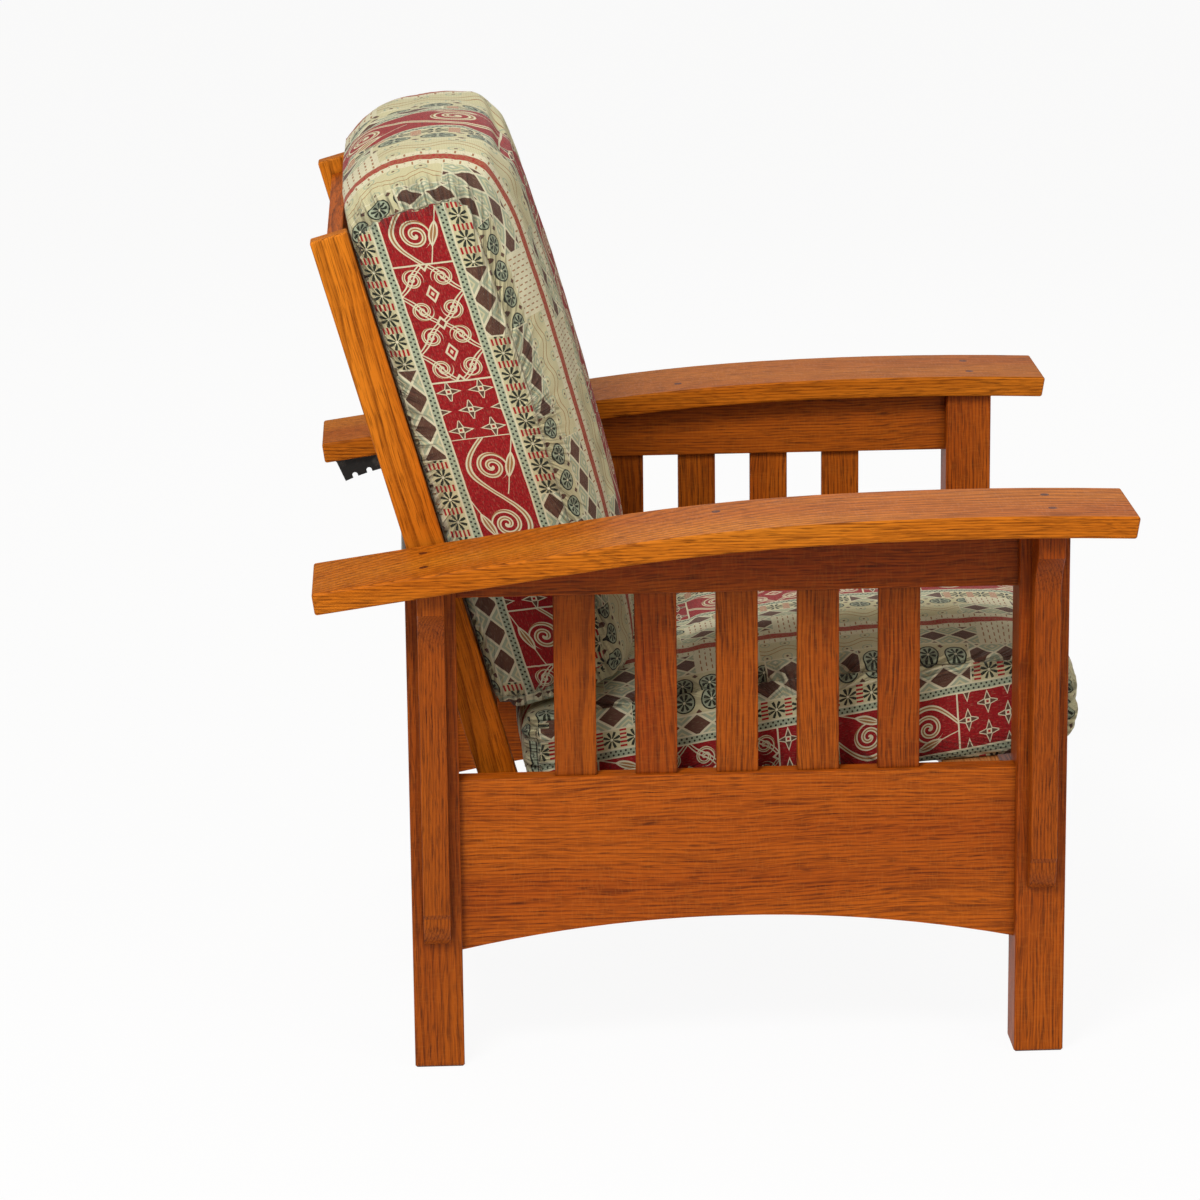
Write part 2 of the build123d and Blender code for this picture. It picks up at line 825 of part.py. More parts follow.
def hinge_arm():
    """Return the left hinge arm that carries the stile on the pivot."""
    x0 = stile_outer_x
    x1 = stile_outer_x + hinge_arm_thickness
    foot = block(
        x0,
        x1,
        -hinge_arm_foot_front,
        -hinge_arm_foot_rear,
        hinge_arm_foot_bottom,
        hinge_arm_foot_top,
    )
    foot = fillet(foot.edges().filter_by(Axis.X), hinge_arm_corner)
    neck = block(x0, x1, hinge_arm_corner - hinge_arm_foot_front, 0, -hinge_arm_neck, 0)
    bar = foot + neck + rod_x(hinge_arm_hub_radius, x0, x1, 0, 0)
    bar -= rod_x(bolt_radius + running_clearance, x0, x1, 0, 0)
    for screw in hinge_arm_screws(running_clearance):
        bar -= screw
    return bar


# Notched racks


def notch(number):
    """Return the cutter for one rack notch."""
    step = recline_travel / (position_count - 1)
    reach = latch_radius - rack_tip_radius + notch_half_width
    round_end = rod_x(notch_half_width, -rack_thickness, rack_thickness, 0, 0)
    slot = block(-rack_thickness, rack_thickness, -notch_half_width, notch_half_width, -reach, 0)
    angle = latch_angle + step * number
    y, z = polar_point(latch_radius, angle)
    middle_x = leg_inner_x - rack_thickness / 2
    return Pos(middle_x, y, z) * Rot(X=-angle) * (round_end + slot)


def rack():
    """Return the left notched rack with its flange under the arm."""
    front_angle = math.degrees(math.asin((rack_front_y - pivot_y) / rack_tip_radius))
    rear_angle = rack_rear_angle
    middle_angle = (front_angle + rear_angle) / 2
    front_low = polar_point(rack_tip_radius, front_angle)
    rear_low = polar_point(rack_tip_radius, rear_angle)
    edge = ThreePointArc(front_low, polar_point(rack_tip_radius, middle_angle), rear_low)
    rear_top = (rack_rear_top_y, under_arm_z(rack_rear_top_y))
    front_top = (rack_front_y, under_arm_z(rack_front_y))
    stops = [rear_low, rear_top, front_top, front_low]
    lines = [Line(a, b) for a, b in zip(stops, stops[1:])]
    web = side_profile(Plane.YZ * make_face([edge, *lines]), leg_inner_x - rack_thickness, leg_inner_x)
    for number in range(position_count):
        web -= notch(number)
    y0 = rear_leg_rear_y + rack_flange_gap
    y1 = rack_rear_top_y
    upper = [(y, under_arm_z(y)) for y in (y0, y1)]
    lower = [(y, z - rack_thickness) for y, z in reversed(upper)]
    flange = side_profile(yz_polygon([*upper, *lower]), leg_inner_x, leg_inner_x + rack_flange_width)
    body = web + flange
    for screw in rack_leg_screws(running_clearance) + rack_flange_screws(running_clearance):
        body -= screw
    return body


# Release latch, drawn seated in its own axes and then lifted clear


def latch_pin_spot():
    """Return Y and Z of the seated latch pin in the back's axes."""
    turn = math.radians(latch_angle - rest_lean)
    return latch_radius * math.sin(turn), latch_radius * math.cos(turn)


def latch_pivot_spot():
    """Return Y and Z of the latch pivot in the back's axes."""
    turn = math.radians(latch_angle - rest_lean)
    y, z = latch_pin_spot()
    return y + latch_pivot_distance * math.cos(turn), z - latch_pivot_distance * math.sin(turn)


def latch_bar_spot():
    """Return Y and Z of the release bar in the back's axes."""
    y, z = latch_pivot_spot()
    return y + latch_bar_back, z - latch_bar_drop


def lifted(shape):
    """Turn a latch shape about its pivot until its pin is clear."""
    y, z = latch_pivot_spot()
    return Pos(0, y, z) * Rot(X=latch_release) * Pos(0, -y, -z) * shape


def latch_screw(slack):
    """Return the left latch pivot screw in the axes of the back."""
    y, z = latch_pivot_spot()
    lever_face = stile_outer_x + lever_offset + lever_thickness
    head_x = lever_face + side_play
    shank = rod_x(latch_screw_radius + slack, stile_outer_x - latch_screw_depth, head_x, y, z)
    head = rod_x(latch_screw_head_radius, head_x, head_x + latch_screw_head_height, y, z)
    return shank + head


def strap(x0, x1, start, stop, half_width):
    """Return a straight flat strap between two Y and Z points."""
    run = Vector(*stop) - Vector(*start)
    middle = (Vector(*stop) + Vector(*start)) * (1 / 2)
    turn = math.degrees(math.atan2(run.Y, run.X))
    bar = Box(x1 - x0, run.length, 2 * half_width)
    return Pos((x0 + x1) / 2, middle.X, middle.Y) * Rot(X=turn) * bar


def lever():
    """Return the left latch lever with its pin and its pivot boss."""
    x0 = stile_outer_x + lever_offset
    x1 = x0 + lever_thickness
    pin, pivot, bar = latch_pin_spot(), latch_pivot_spot(), latch_bar_spot()
    body = rod_x(lever_half_width, x0, x1, *pivot)
    body += strap(x0, x1, pin, pivot, lever_pin_half_width)
    body += rod_x(lever_pin_half_width, x0, x1, *pin)
    body += strap(x0, x1, pivot, bar, lever_half_width)
    body += rod_x(lever_half_width, x0, x1, *bar)
    body += rod_x(lever_half_width, stile_outer_x + side_play, x0, *pivot)
    body += rod_x(latch_pin_radius, x1, leg_inner_x - lever_pin_end_gap, *pin)
    body -= rod_x(latch_screw_radius + running_clearance, stile_outer_x, x1, *pivot)
    return body - rod_x(release_bar_radius, x0, x1, *bar)


def release_bar():
    """Return the round bar that joins both levers behind the back."""
    half = stile_outer_x + lever_offset + lever_thickness
    return rod_x(release_bar_radius, -half, half, *latch_bar_spot())


# Back frame in its own upright axes


def back_rail_tenon(z0, z1):
    """Return the left tenon of a back rail."""
    half = back_rail_tenon_thickness / 2
    return block(
        stile_inner_x,
        stile_inner_x + back_rail_tenon_length,
        stile_mid_y - half,
        stile_mid_y + half,
        z0 + back_rail_tenon_inset,
        z1 - back_rail_tenon_inset,
    )


def back_rail_spans():
    """Return the bottom and top of the lower and the upper back rail."""
    low = back_bottom_rail_bottom
    high = stile_top - back_top_rail_drop
    return (low, low + back_rail_height), (high - back_rail_height, high)


def stile():
    """Return the left stile."""
    body = block(
        stile_inner_x,
        stile_outer_x,
        stile_mid_y - stile_depth / 2,
        stile_mid_y + stile_depth / 2,
        stile_bottom,
        stile_top,
    )
    body = fillet(body.edges(), stile_ease)
    for z0, z1 in back_rail_spans():
        body -= back_rail_tenon(z0, z1)
    for screw in hinge_arm_screws(running_clearance):
        body -= screw
    return body - latch_screw(running_clearance)


def back_slat_places():
    """Return the middle X of each back slat."""
    first = -back_slat_pitch * (back_slat_count - 1) / 2
    return [first + back_slat_pitch * n for n in range(back_slat_count)]


def back_slat_tenon(x, z0, z1):
    """Return a tenon on one end of a back slat."""
    half_width = back_slat_width / 2 - back_slat_tenon_inset
    half = back_slat_tenon_thickness / 2
    return block(x - half_width, x + half_width, stile_mid_y - half, stile_mid_y + half, z0, z1)


def back_slat_tenons(x):
    """Return the lower and the upper tenon of a back slat."""
    (_, low), (high, _) = back_rail_spans()
    lower = back_slat_tenon(x, low - back_slat_tenon_length, low)
    upper = back_slat_tenon(x, high, high + back_slat_tenon_length)
    return lower, upper


def back_slat(x):
    """Return one back slat between the two back rails."""
    (_, low), (high, _) = back_rail_spans()
    half_width = back_slat_width / 2
    half = back_slat_thickness / 2
    body = block(x - half_width, x + half_width, stile_mid_y - half, stile_mid_y + half, low, high)
    body = fillet(body.edges().filter_by(Axis.Z), slat_ease)
    for tenon in back_slat_tenons(x):
        body += tenon
    return body


def back_rail(z0, z1):
    """Return a rail between the stiles with its slat mortises."""
    half = back_rail_thickness / 2
    body = block(-stile_inner_x, stile_inner_x, stile_mid_y - half, stile_mid_y + half, z0, z1)
    body = fillet(body.edges().filter_by(Axis.X), rail_ease)
    tenon = back_rail_tenon(z0, z1)
    body += tenon + mirrored(tenon)
    for x in back_slat_places():
        for slot in back_slat_tenons(x):
            body -= slot
    return body


# Cushions


def puffed_outline(corners, bulges, turn):
    """Return a closed outline whose sides are arcs and whose corners are turned.

    corners run round the outline, and each bulge belongs to the side that
    leaves its corner.
    """
    count = len(corners)
    ends = []
    for n in range(count):
        a = Vector(*corners[n])
        b = Vector(*corners[(n + 1) % count])
        along = (b - a).normalized()
        ends.append((a + along * turn, b - along * turn, along))
    edges = []
    for n in range(count):
        start, stop, along = ends[n]
        out = Vector(along.Y, -along.X)
        edges.append(ThreePointArc(start, (start + stop) * 0.5 + out * bulges[n], stop))
        following = ends[(n + 1) % count][0]
        corner = Vector(*corners[(n + 1) % count])
        chord_middle = (stop + following) * 0.5
        inner = corner + (chord_middle - corner) * (2 * corner_turn_share)
        edges.append(ThreePointArc(stop, inner, following))
    return make_face(edges)


def shrunk(corners, amount):
    """Return the corners moved towards their middle by an amount."""
    middle = sum((Vector(*c) for c in corners), Vector(0, 0)) * (1 / len(corners))
    moved = []
    for c in corners:
        way = middle - Vector(*c)
        moved.append(tuple(Vector(*c) + way.normalized() * amount * math.sqrt(2))[:2])
    return moved


def stations(half_width, edge_draw, side_draw):
    """Return X, draw and fullness of each cushion section, left to right."""
    right = [
        (half_width, side_draw, side_fullness_share),
        (half_width * edge_station_share, edge_draw, side_fullness_share),
        (half_width * shoulder_station_share, 0, shoulder_fullness_share),
        (half_width * middle_station_share, 0, middle_fullness_share),
    ]
    left = [(-x, draw, share) for x, draw, share in right]
    return [*left, (0, 0, 1), *reversed(right)]


def swelling(share):
    """Return how far a section has grown from the side to the middle."""
    return (share - side_fullness_share) / (1 - side_fullness_share)


def seat_cushion():
    """Return the seat cushion with its crown and drawn-in sides."""
    sections = []
    for x, draw, share in stations(seat_half_width, seat_edge_draw, seat_side_draw):
        front_top_z = seat_front_top_z + seat_top_swell * swelling(share)
        corners = [
            (seat_front_y, deck_z(seat_front_y) + cushion_gap),
            (seat_rear_bottom_y, deck_z(seat_rear_bottom_y) + cushion_gap),
            (seat_rear_top_y, seat_rear_top_z),
            (seat_front_y, front_top_z),
        ]
        bulges = [
            cushion_gap / 2,
            seat_rear_crown * share,
            seat_top_crown * share,
            seat_front_crown * (1 + share) / 2,
        ]
        outline = puffed_outline(shrunk(corners, draw), bulges, seat_corner)
        sections.append(Pos(x, 0, 0) * (Plane.YZ * outline))
    return loft(sections)


def back_cushion():
    """Return the back cushion in the axes of the back frame."""
    sections = []
    for x, draw, share in stations(back_cushion_half_width, back_edge_draw, back_side_draw):
        front = -back_cushion_front - back_front_swell * swelling(share)
        top = back_cushion_top + back_top_swell * swelling(share)
        corners = [
            (front, back_cushion_bottom),
            (-back_cushion_rear, back_cushion_bottom),
            (-back_cushion_rear, top),
            (front, top),
        ]
        bulges = [
            back_bottom_crown,
            back_rear_crown,
            back_top_crown * share,
            back_front_crown * share,
        ]
        outline = puffed_outline(shrunk(corners, draw), bulges, back_cushion_corner)
        sections.append(Pos(x, 0, 0) * (Plane.YZ * outline))
    return loft(sections)


# Export

export_pair(front_leg(), "front_leg")
export_pair(rear_leg(), "rear_leg")
export_pair(lower_side_rail(), "lower_side_rail")
export_pair(upper_side_rail(), "upper_side_rail")
for index, slat_y in enumerate(slat_places(), start=1):
    slat = side_slat(slat_y)
    export_step(slat, f"parts/side_slat_left_{index}.step")
    export_step(mirrored(slat), f"parts/side_slat_right_{index}.step")
export_pair(arm(), "arm")
export_step(arm_plugs(), "parts/arm_plugs.step")
export_step(arm_screws(), "parts/arm_screws.step")
export_pair(corbel(front_leg_mid_y, front_plug_y), "front_corbel")
export_pair(corbel(rear_leg_mid_y, rear_plug_y), "rear_corbel")
export_step(front_seat_rail(), "parts/front_seat_rail.step")
export_step(rear_seat_rail(), "parts/rear_seat_rail.step")
export_pair(seat_cleat(), "seat_cleat")
for index, deck_y in enumerate(deck_places(), start=1):
    export_step(deck_slat(deck_y), f"parts/deck_slat_{index}.step")
export_step(frame_screws(), "parts/frame_screws.step")
export_pair(hinge_plate(), "hinge_plate")
export_step(both_sides([hinge_bolt(0)]), "parts/hinge_bolts.step")
export_pair(rack(), "recline_rack")
export_step(seat_cushion(), "parts/seat_cushion.step")

export_pair(place_back(stile()), "back_stile")
lower_span, upper_span = back_rail_spans()
export_step(place_back(back_rail(*upper_span)), "parts/back_top_rail.step")
export_step(place_back(back_rail(*lower_span)), "parts/back_bottom_rail.step")
for index, slat_x in enumerate(back_slat_places(), start=1):
    export_step(place_back(back_slat(slat_x)), f"parts/back_slat_{index}.step")
export_pair(place_back(hinge_arm()), "hinge_arm")
export_step(place_back(both_sides(hinge_arm_screws(0))), "parts/hinge_arm_screws.step")
export_step(place_back(both_sides([latch_screw(0)])), "parts/latch_screws.step")
export_step(place_back(back_cushion()), "parts/back_cushion.step")

export_pair(place_back(lifted(lever())), "latch_lever")
export_step(place_back(lifted(release_bar())), "parts/release_bar.step")
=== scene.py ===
"""Looks of a mission reclining armchair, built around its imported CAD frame."""

import logging
import math
from dataclasses import dataclass
from enum import Enum
from typing import Any

import bpy
from mathutils import Euler, Matrix, Vector, noise
from mathutils.bvhtree import BVHTree


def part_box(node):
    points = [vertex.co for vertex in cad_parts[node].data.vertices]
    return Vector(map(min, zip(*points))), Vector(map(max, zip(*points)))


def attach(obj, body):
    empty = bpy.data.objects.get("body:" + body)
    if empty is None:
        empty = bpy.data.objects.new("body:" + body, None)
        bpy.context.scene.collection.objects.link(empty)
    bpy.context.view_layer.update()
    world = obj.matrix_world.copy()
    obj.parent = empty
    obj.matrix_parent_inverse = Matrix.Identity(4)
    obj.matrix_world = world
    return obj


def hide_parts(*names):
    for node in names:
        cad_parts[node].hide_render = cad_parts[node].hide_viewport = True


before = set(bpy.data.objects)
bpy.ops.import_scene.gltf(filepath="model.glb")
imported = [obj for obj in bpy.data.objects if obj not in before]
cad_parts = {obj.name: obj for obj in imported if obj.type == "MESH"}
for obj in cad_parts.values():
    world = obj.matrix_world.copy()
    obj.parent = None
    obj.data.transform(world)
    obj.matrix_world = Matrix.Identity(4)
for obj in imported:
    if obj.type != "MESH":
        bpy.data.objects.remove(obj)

LOG = logging.getLogger("armchair")
SEAM_GAP = "seam_gap"
SEAM_RUN = "seam_run"
CLOTH_MAP = "cloth"
BACK_LEAN = 15.8
SEAT_LEAN = 4.0

Colour = tuple[float, float, float]
Point = tuple[float, float, float]
Span = tuple[float, float]


def rgb(red: int, green: int, blue: int) -> Colour:
    """Turn a display colour into the linear values that shaders use.

    Args:
        red: Red from 0 to 255.
        green: Green from 0 to 255.
        blue: Blue from 0 to 255.

    Returns:
        The same colour in linear light.
    """
    def linear(level: int) -> float:
        """Turn one level into its linear value."""
        share = level / 255
        return share / 12.92 if share <= 0.04045 else ((share + 0.055) / 1.055) ** 2.4

    return linear(red), linear(green), linear(blue)


# Shader building


class Sock:
    """A shader socket or number that takes part in Python arithmetic."""

    def __init__(self, board: "Board", link: Any) -> None:
        """Keep the board that owns the nodes and the socket or number."""
        self.board = board
        self.link = link

    def _math(self, kind: str, *others: Any) -> "Sock":
        """Add one Math node on this value and the others."""
        inputs = {0: self, **dict(enumerate(others, 1))}
        return self.board.node("ShaderNodeMath", {"operation": kind}, inputs)

    def __add__(self, other: Any) -> "Sock":
        """Add."""
        return self._math("ADD", other)

    __radd__ = __add__

    def __sub__(self, other: Any) -> "Sock":
        """Subtract."""
        return self._math("SUBTRACT", other)

    def __rsub__(self, other: Any) -> "Sock":
        """Subtract this value from a number."""
        return self.board.node("ShaderNodeMath", {"operation": "SUBTRACT"}, {0: other, 1: self})

    def __mul__(self, other: Any) -> "Sock":
        """Multiply."""
        return self._math("MULTIPLY", other)

    __rmul__ = __mul__

    def __truediv__(self, other: Any) -> "Sock":
        """Divide."""
        return self._math("DIVIDE", other)

    def __neg__(self) -> "Sock":
        """Change the sign."""
        return self._math("MULTIPLY", -1.0)

    def __lt__(self, other: Any) -> "Sock":
        """Give 1 where this value is smaller."""
        return self._math("LESS_THAN", other)

    def __gt__(self, other: Any) -> "Sock":
        """Give 1 where this value is larger."""
        return self._math("GREATER_THAN", other)

    def __and__(self, other: Any) -> "Sock":
        """Give the smaller, which joins two masks."""
        return self._math("MINIMUM", other)

    def __or__(self, other: Any) -> "Sock":
        """Give the larger, which adds two masks."""
        return self._math("MAXIMUM", other)

    def __abs__(self) -> "Sock":
        """Give the value without its sign."""
        return self._math("ABSOLUTE")

    def sin(self) -> "Sock":
        """Give the sine."""
        return self._math("SINE")

    def root(self) -> "Sock":
        """Give the square root."""
        return self._math("SQRT")

    def frac(self) -> "Sock":
        """Give the part after the whole number."""
        return self._math("FRACT")

    def whole(self) -> "Sock":
        """Give the whole number below."""
        return self._math("FLOOR")

    def angle(self, other: "Sock") -> "Sock":
        """Give the angle of the point (other, this), in turns."""
        return self._math("ARCTAN2", other) / (2 * math.pi)

    def ramp(self, low: float, high: float) -> "Sock":
        """Rise from 0 to 1 between two values.

        Args:
            low: The value at and below which the result is 0.
            high: The value at and above which the result is 1.

        Returns:
            The mask.
        """
        span = high - low
        return self.board.node(
            "ShaderNodeMath",
            {"operation": "MULTIPLY_ADD", "use_clamp": True},
            {0: self, 1: 1 / span, 2: -low / span},
        )

    def cell(self, pitch: float) -> "Sock":
        """Give the distance from the middle of the nearest cell."""
        return ((self / pitch).frac() - 0.5) * pitch


class Board:
    """The node tree of one material or world."""

    def __init__(self, owner: bpy.types.Material | bpy.types.World) -> None:
        """Empty the owner's node tree.

        Args:
            owner: The material or world that the nodes belong to.
        """
        self.owner = owner
        owner.use_nodes = True
        self.tree = owner.node_tree
        self.tree.nodes.clear()

    @classmethod
    def material(cls, name: str) -> "Board":
        """Start the tree of a new material."""
        return cls(bpy.data.materials.new(name))

    def node(
        self, kind: str, settings: dict[str, Any], inputs: dict[Any, Any], output: Any = 0
    ) -> Sock:
        """Add one node.

        Args:
            kind: The node's type.
            settings: Its properties, set before its sockets.
            inputs: Values or links by socket name or index.
            output: The socket that is given back.

        Returns:
            The chosen output, or an empty socket where the node has none.
        """
        made = self.tree.nodes.new(kind)
        for key, value in settings.items():
            setattr(made, key, value)
        for key, value in inputs.items():
            socket = made.inputs[key]
            if isinstance(value, Sock):
                self.tree.links.new(value.link, socket)
            elif socket.type == "RGBA":
                socket.default_value = (*value, 1.0)
            else:
                socket.default_value = value
        return Sock(self, made.outputs[output] if made.outputs else None)

    def coords(self, turn: Euler | None = None, shift: Point = (0, 0, 0)) -> Sock:
        """Give Object coordinates.

        Args:
            turn: The turn that is applied first.
            shift: The move that follows it.

        Returns:
            The coordinates.
        """
        base = self.node("ShaderNodeTexCoord", {}, {}, "Object")
        return self.node(
            "ShaderNodeMapping",
            {"vector_type": "POINT"},
            {"Vector": base, "Rotation": turn or Euler((0, 0, 0)), "Location": shift},
        )

    def split(self, vector: Sock) -> list[Sock]:
        """Give the three parts of a vector."""
        made = self.node("ShaderNodeSeparateXYZ", {}, {0: vector}).link.node
        return [Sock(self, part) for part in made.outputs]

    def join(self, x: Any, y: Any, z: Any) -> Sock:
        """Make a vector of three values."""
        return self.node("ShaderNodeCombineXYZ", {}, {0: x, 1: y, 2: z})

    def noise(self, vector: Sock, scale: float, detail: float = 2.0, rough: float = 0.5) -> Sock:
        """Give smooth noise.

        Args:
            vector: Where it is read.
            scale: How fine it is.
            detail: How many finer layers lie over the first.
            rough: How strong each finer layer is.

        Returns:
            Values from 0 to 1.
        """
        return self.node(
            "ShaderNodeTexNoise",
            {"noise_dimensions": "3D"},
            {"Vector": vector, "Scale": scale, "Detail": detail, "Roughness": rough},
            "Fac",
        )

    def mix(self, mask: Any, under: Any, over: Any, way: str = "MIX") -> Sock:
        """Lay one colour over another.

        Args:
            mask: 1 where the upper colour covers.
            under: The lower colour.
            over: The upper colour.
            way: The blend type.

        Returns:
            The mixed colour.
        """
        settings = {"data_type": "RGBA", "blend_type": way}
        return self.node("ShaderNodeMix", settings, {0: mask, 6: under, 7: over}, 2)

    def bump(
        self, height: Sock, distance: float, strength: float = 1.0, under: Sock | None = None
    ) -> Sock:
        """Turn a height into a normal.

        Args:
            height: The height from 0 to 1.
            distance: Metres that a height of 1 stands for.
            strength: The share of the effect.
            under: A normal that this one is laid over.

        Returns:
            The normal.
        """
        inputs = {"Height": height, "Distance": distance, "Strength": strength}
        if under is not None:
            inputs["Normal"] = under
        return self.node("ShaderNodeBump", {}, inputs)

    def attribute(self, name: str) -> Sock:
        """Read a number that the mesh carries at its points."""
        return self.node("ShaderNodeAttribute", {"attribute_name": name}, {}, "Fac")

    def surface(self, **inputs: Any) -> bpy.types.Material:
        """Close the tree with a Principled surface.

        Args:
            **inputs: Socket values, with underscores for the spaces.

        Returns:
            The finished material.
        """
        named = {key.replace("_", " "): value for key, value in inputs.items()}
        return self.close(self.node("ShaderNodeBsdfPrincipled", {}, named))

    def close(self, shader: Sock) -> bpy.types.Material | bpy.types.World:
        """Lead a shader to the tree's output.

        Args:
            shader: The finished shader.

        Returns:
            The material or world.
        """
        kind = "World" if isinstance(self.owner, bpy.types.World) else "Material"
        self.node(f"ShaderNodeOutput{kind}", {}, {0: shader})
        return self.owner


# Wood


class Grain(Enum):
    """The way a board's grain runs, and the way its growth rings are stacked.

    Each value is the Euler turn that brings the grain to Z and the ring
    stack to X.
    """

    UPRIGHT_SIDE = (0.0, 0.0, 90.0)
    UPRIGHT_FRONT = (0.0, 0.0, 0.0)
    LENGTHWISE_TALL = (-90.0, 0.0, -90.0)
    LENGTHWISE_FLAT = (-90.0, 0.0, 0.0)
    CROSSWISE_TALL = (0.0, -90.0, 0.0)
    CROSSWISE_FLAT = (90.0, -90.0, 0.0)


@dataclass(frozen=True)
class Oak:
    """Quarter-sawn oak under a satin lacquer, with lengths in metres.

    A range is the pair of noise values between which a mark fades in, and a
    share is how much of it shows.
    """

    light: Colour = rgb(198, 100, 14)
    middle: Colour = rgb(160, 66, 4)
    dark: Colour = rgb(82, 26, 2)
    pore: Colour = rgb(46, 16, 3)
    fleck: Colour = rgb(214, 130, 46)
    ring_pitch: float = 0.0032
    heart_distance: float = 0.16
    ring_sway: float = 0.03
    ring_tremble: float = 0.0022
    late_range: Span = (0.50, 0.90)
    late_end: Span = (0.92, 1.0)
    cloud_range: Span = (0.3, 0.72)
    streak_range: Span = (0.50, 0.74)
    streak_share: float = 0.60
    pore_range: Span = (0.52, 0.70)
    pore_share: float = 0.56
    fleck_range: Span = (0.68, 0.75)
    fleck_share: float = 0.07
    tone_low: float = 0.94
    tone_spread: float = 0.12
    # The joint darkening is ambient occlusion: partly the dark glaze in the joints, partly painted
    # shade in the hollows between boards.
    glaze_and_shade_reach: float = 0.014
    glaze_and_shade_range: Span = (0.25, 0.80)
    seam_tint_and_painted_shade: float = 0.7
    relief: float = 0.00022
    relief_strength: float = 0.55
    roughness: float = 0.46
    lacquer: float = 0.03
    lacquer_roughness: float = 0.18
    gloss: float = 0.13

    def material(
        self, name: str, grain: Grain, lean: float, tone_and_painted_shade: float, seed: float
    ) -> bpy.types.Material:
        """Build the wood of one board.

        Args:
            name: The material's name.
            grain: The way the grain runs.
            lean: Degrees that the board leans back about X.
            tone_and_painted_shade: How light the board is beside the others: partly its own tone,
                partly painted shade where it lies in shadow.
            seed: A number of its own that moves the figure.

        Returns:
            The material.
        """
        board = Board.material(name)
        place = self.place(board, grain, lean, seed)
        x, y, z = board.split(place)
        sway = self.grainy(board, place, (4, 4, 1.6), 2.0) - 0.5
        tremble = self.grainy(board, place, (30, 30, 9), 2.0) - 0.5
        late = self.late_wood(x, y, sway, tremble)
        drift = board.join(tremble * 0.010 + sway * 0.05, 0.0, 0.0)
        drawn = board.node("ShaderNodeVectorMath", {"operation": "ADD"}, {0: place, 1: drift})
        streak = self.grainy(board, drawn, (430, 430, 17), 2.0)
        thread = self.grainy(board, drawn, (900, 900, 42), 1.0)
        patch = self.grainy(board, place, (16, 6, 20), 1.0)
        rays = board.noise(board.join(x * 90 + z * 20, y * 900, z * 420), 1.0, 1.0)
        rays = (rays + patch * 0.25).ramp(*self.fleck_range)
        cloud = self.grainy(board, place, (9, 9, 1.2), 3.0)
        base = board.mix(cloud.ramp(*self.cloud_range), self.middle, self.light)
        base = board.mix(late * (0.25 + streak * 0.50), base, self.dark)
        base = board.mix(streak.ramp(*self.streak_range) * self.streak_share, base, self.dark)
        base = board.mix(thread.ramp(*self.pore_range) * self.pore_share, base, self.pore)
        base = board.mix(rays * self.fleck_share, base, self.fleck)
        # Each board's level: a random tone of its own, times its lightness, which paints shade on
        # boards that lie in shadow.
        level = tone_and_painted_shade * (self.tone_low + seed * 0.377 % self.tone_spread)
        base = board.mix(1.0, base, (level,) * 3, "MULTIPLY")
        height = thread * 0.30 - streak * 0.25 - late * 0.25 + rays * 0.10
        return board.surface(
            Base_Color=self.paint_glaze_and_shade_in_joints(board, base),
            Roughness=self.roughness + streak * 0.12 - rays * 0.05,
            Normal=board.bump(height, self.relief, self.relief_strength),
            Coat_Weight=self.lacquer,
            Coat_Roughness=self.lacquer_roughness,
            Specular_IOR_Level=self.gloss,
        )

    def place(self, board: Board, grain: Grain, lean: float, seed: float) -> Sock:
        """Turn a board's coordinates so that its grain runs along Z.

        Args:
            board: The board to build on.
            grain: The way the grain runs.
            lean: Degrees that the board leans back about X.
            seed: A number that picks the board's part of the tree.

        Returns:
            The coordinates.
        """
        upright = Matrix.Rotation(math.radians(lean), 3, "X")
        turn = Euler([math.radians(a) for a in grain.value]).to_matrix() @ upright
        shift = (seed * 0.137 % 0.05, seed * 0.071 % 0.04, seed * 0.613 % 3.0)
        return board.coords(turn.to_euler(), shift)

    def grainy(self, board: Board, place: Sock, fine: Point, detail: float) -> Sock:
        """Give noise that is drawn out along the grain.

        Args:
            board: The board to build on.
            place: The coordinates.
            fine: How fine it is along each axis.
            detail: How many finer layers lie over the first.

        Returns:
            Values from 0 to 1.
        """
        x, y, z = board.split(place)
        return board.noise(board.join(x * fine[0], y * fine[1], z * fine[2]), 1.0, detail)

    def late_wood(self, x: Sock, y: Sock, sway: Sock, tremble: Sock) -> Sock:
        """Mark the dark late wood of each growth ring.

        Args:
            x: Metres towards the heart.
            y: Metres along the ring.
            sway: A broad bend of the rings.
            tremble: A fine bend of the rings.

        Returns:
            The mask.
        """
        depth = x + self.heart_distance
        far = (depth * depth + y * y).root() + sway * self.ring_sway + tremble * self.ring_tremble
        phase = (far / self.ring_pitch).frac()
        return phase.ramp(*self.late_range) & (1 - phase.ramp(*self.late_end))

    def paint_glaze_and_shade_in_joints(self, board: Board, base: Sock) -> Sock:
        """Darken the wood where boards meet.

        Args:
            board: The board to build on.
            base: The colour below.

        Returns:
            The colour with darker joints: partly their dark glaze, partly painted shade.
        """
        reach = {"Distance": self.glaze_and_shade_reach}
        # Painted shade from ambient occlusion, over the joints' dark glaze: the hollows darken
        # towards the pore colour.
        seam = 1 - board.node("ShaderNodeAmbientOcclusion", {"samples": 8}, reach, "AO")
        return board.mix(seam.ramp(*self.glaze_and_shade_range) * self.seam_tint_and_painted_shade, base, self.pore)


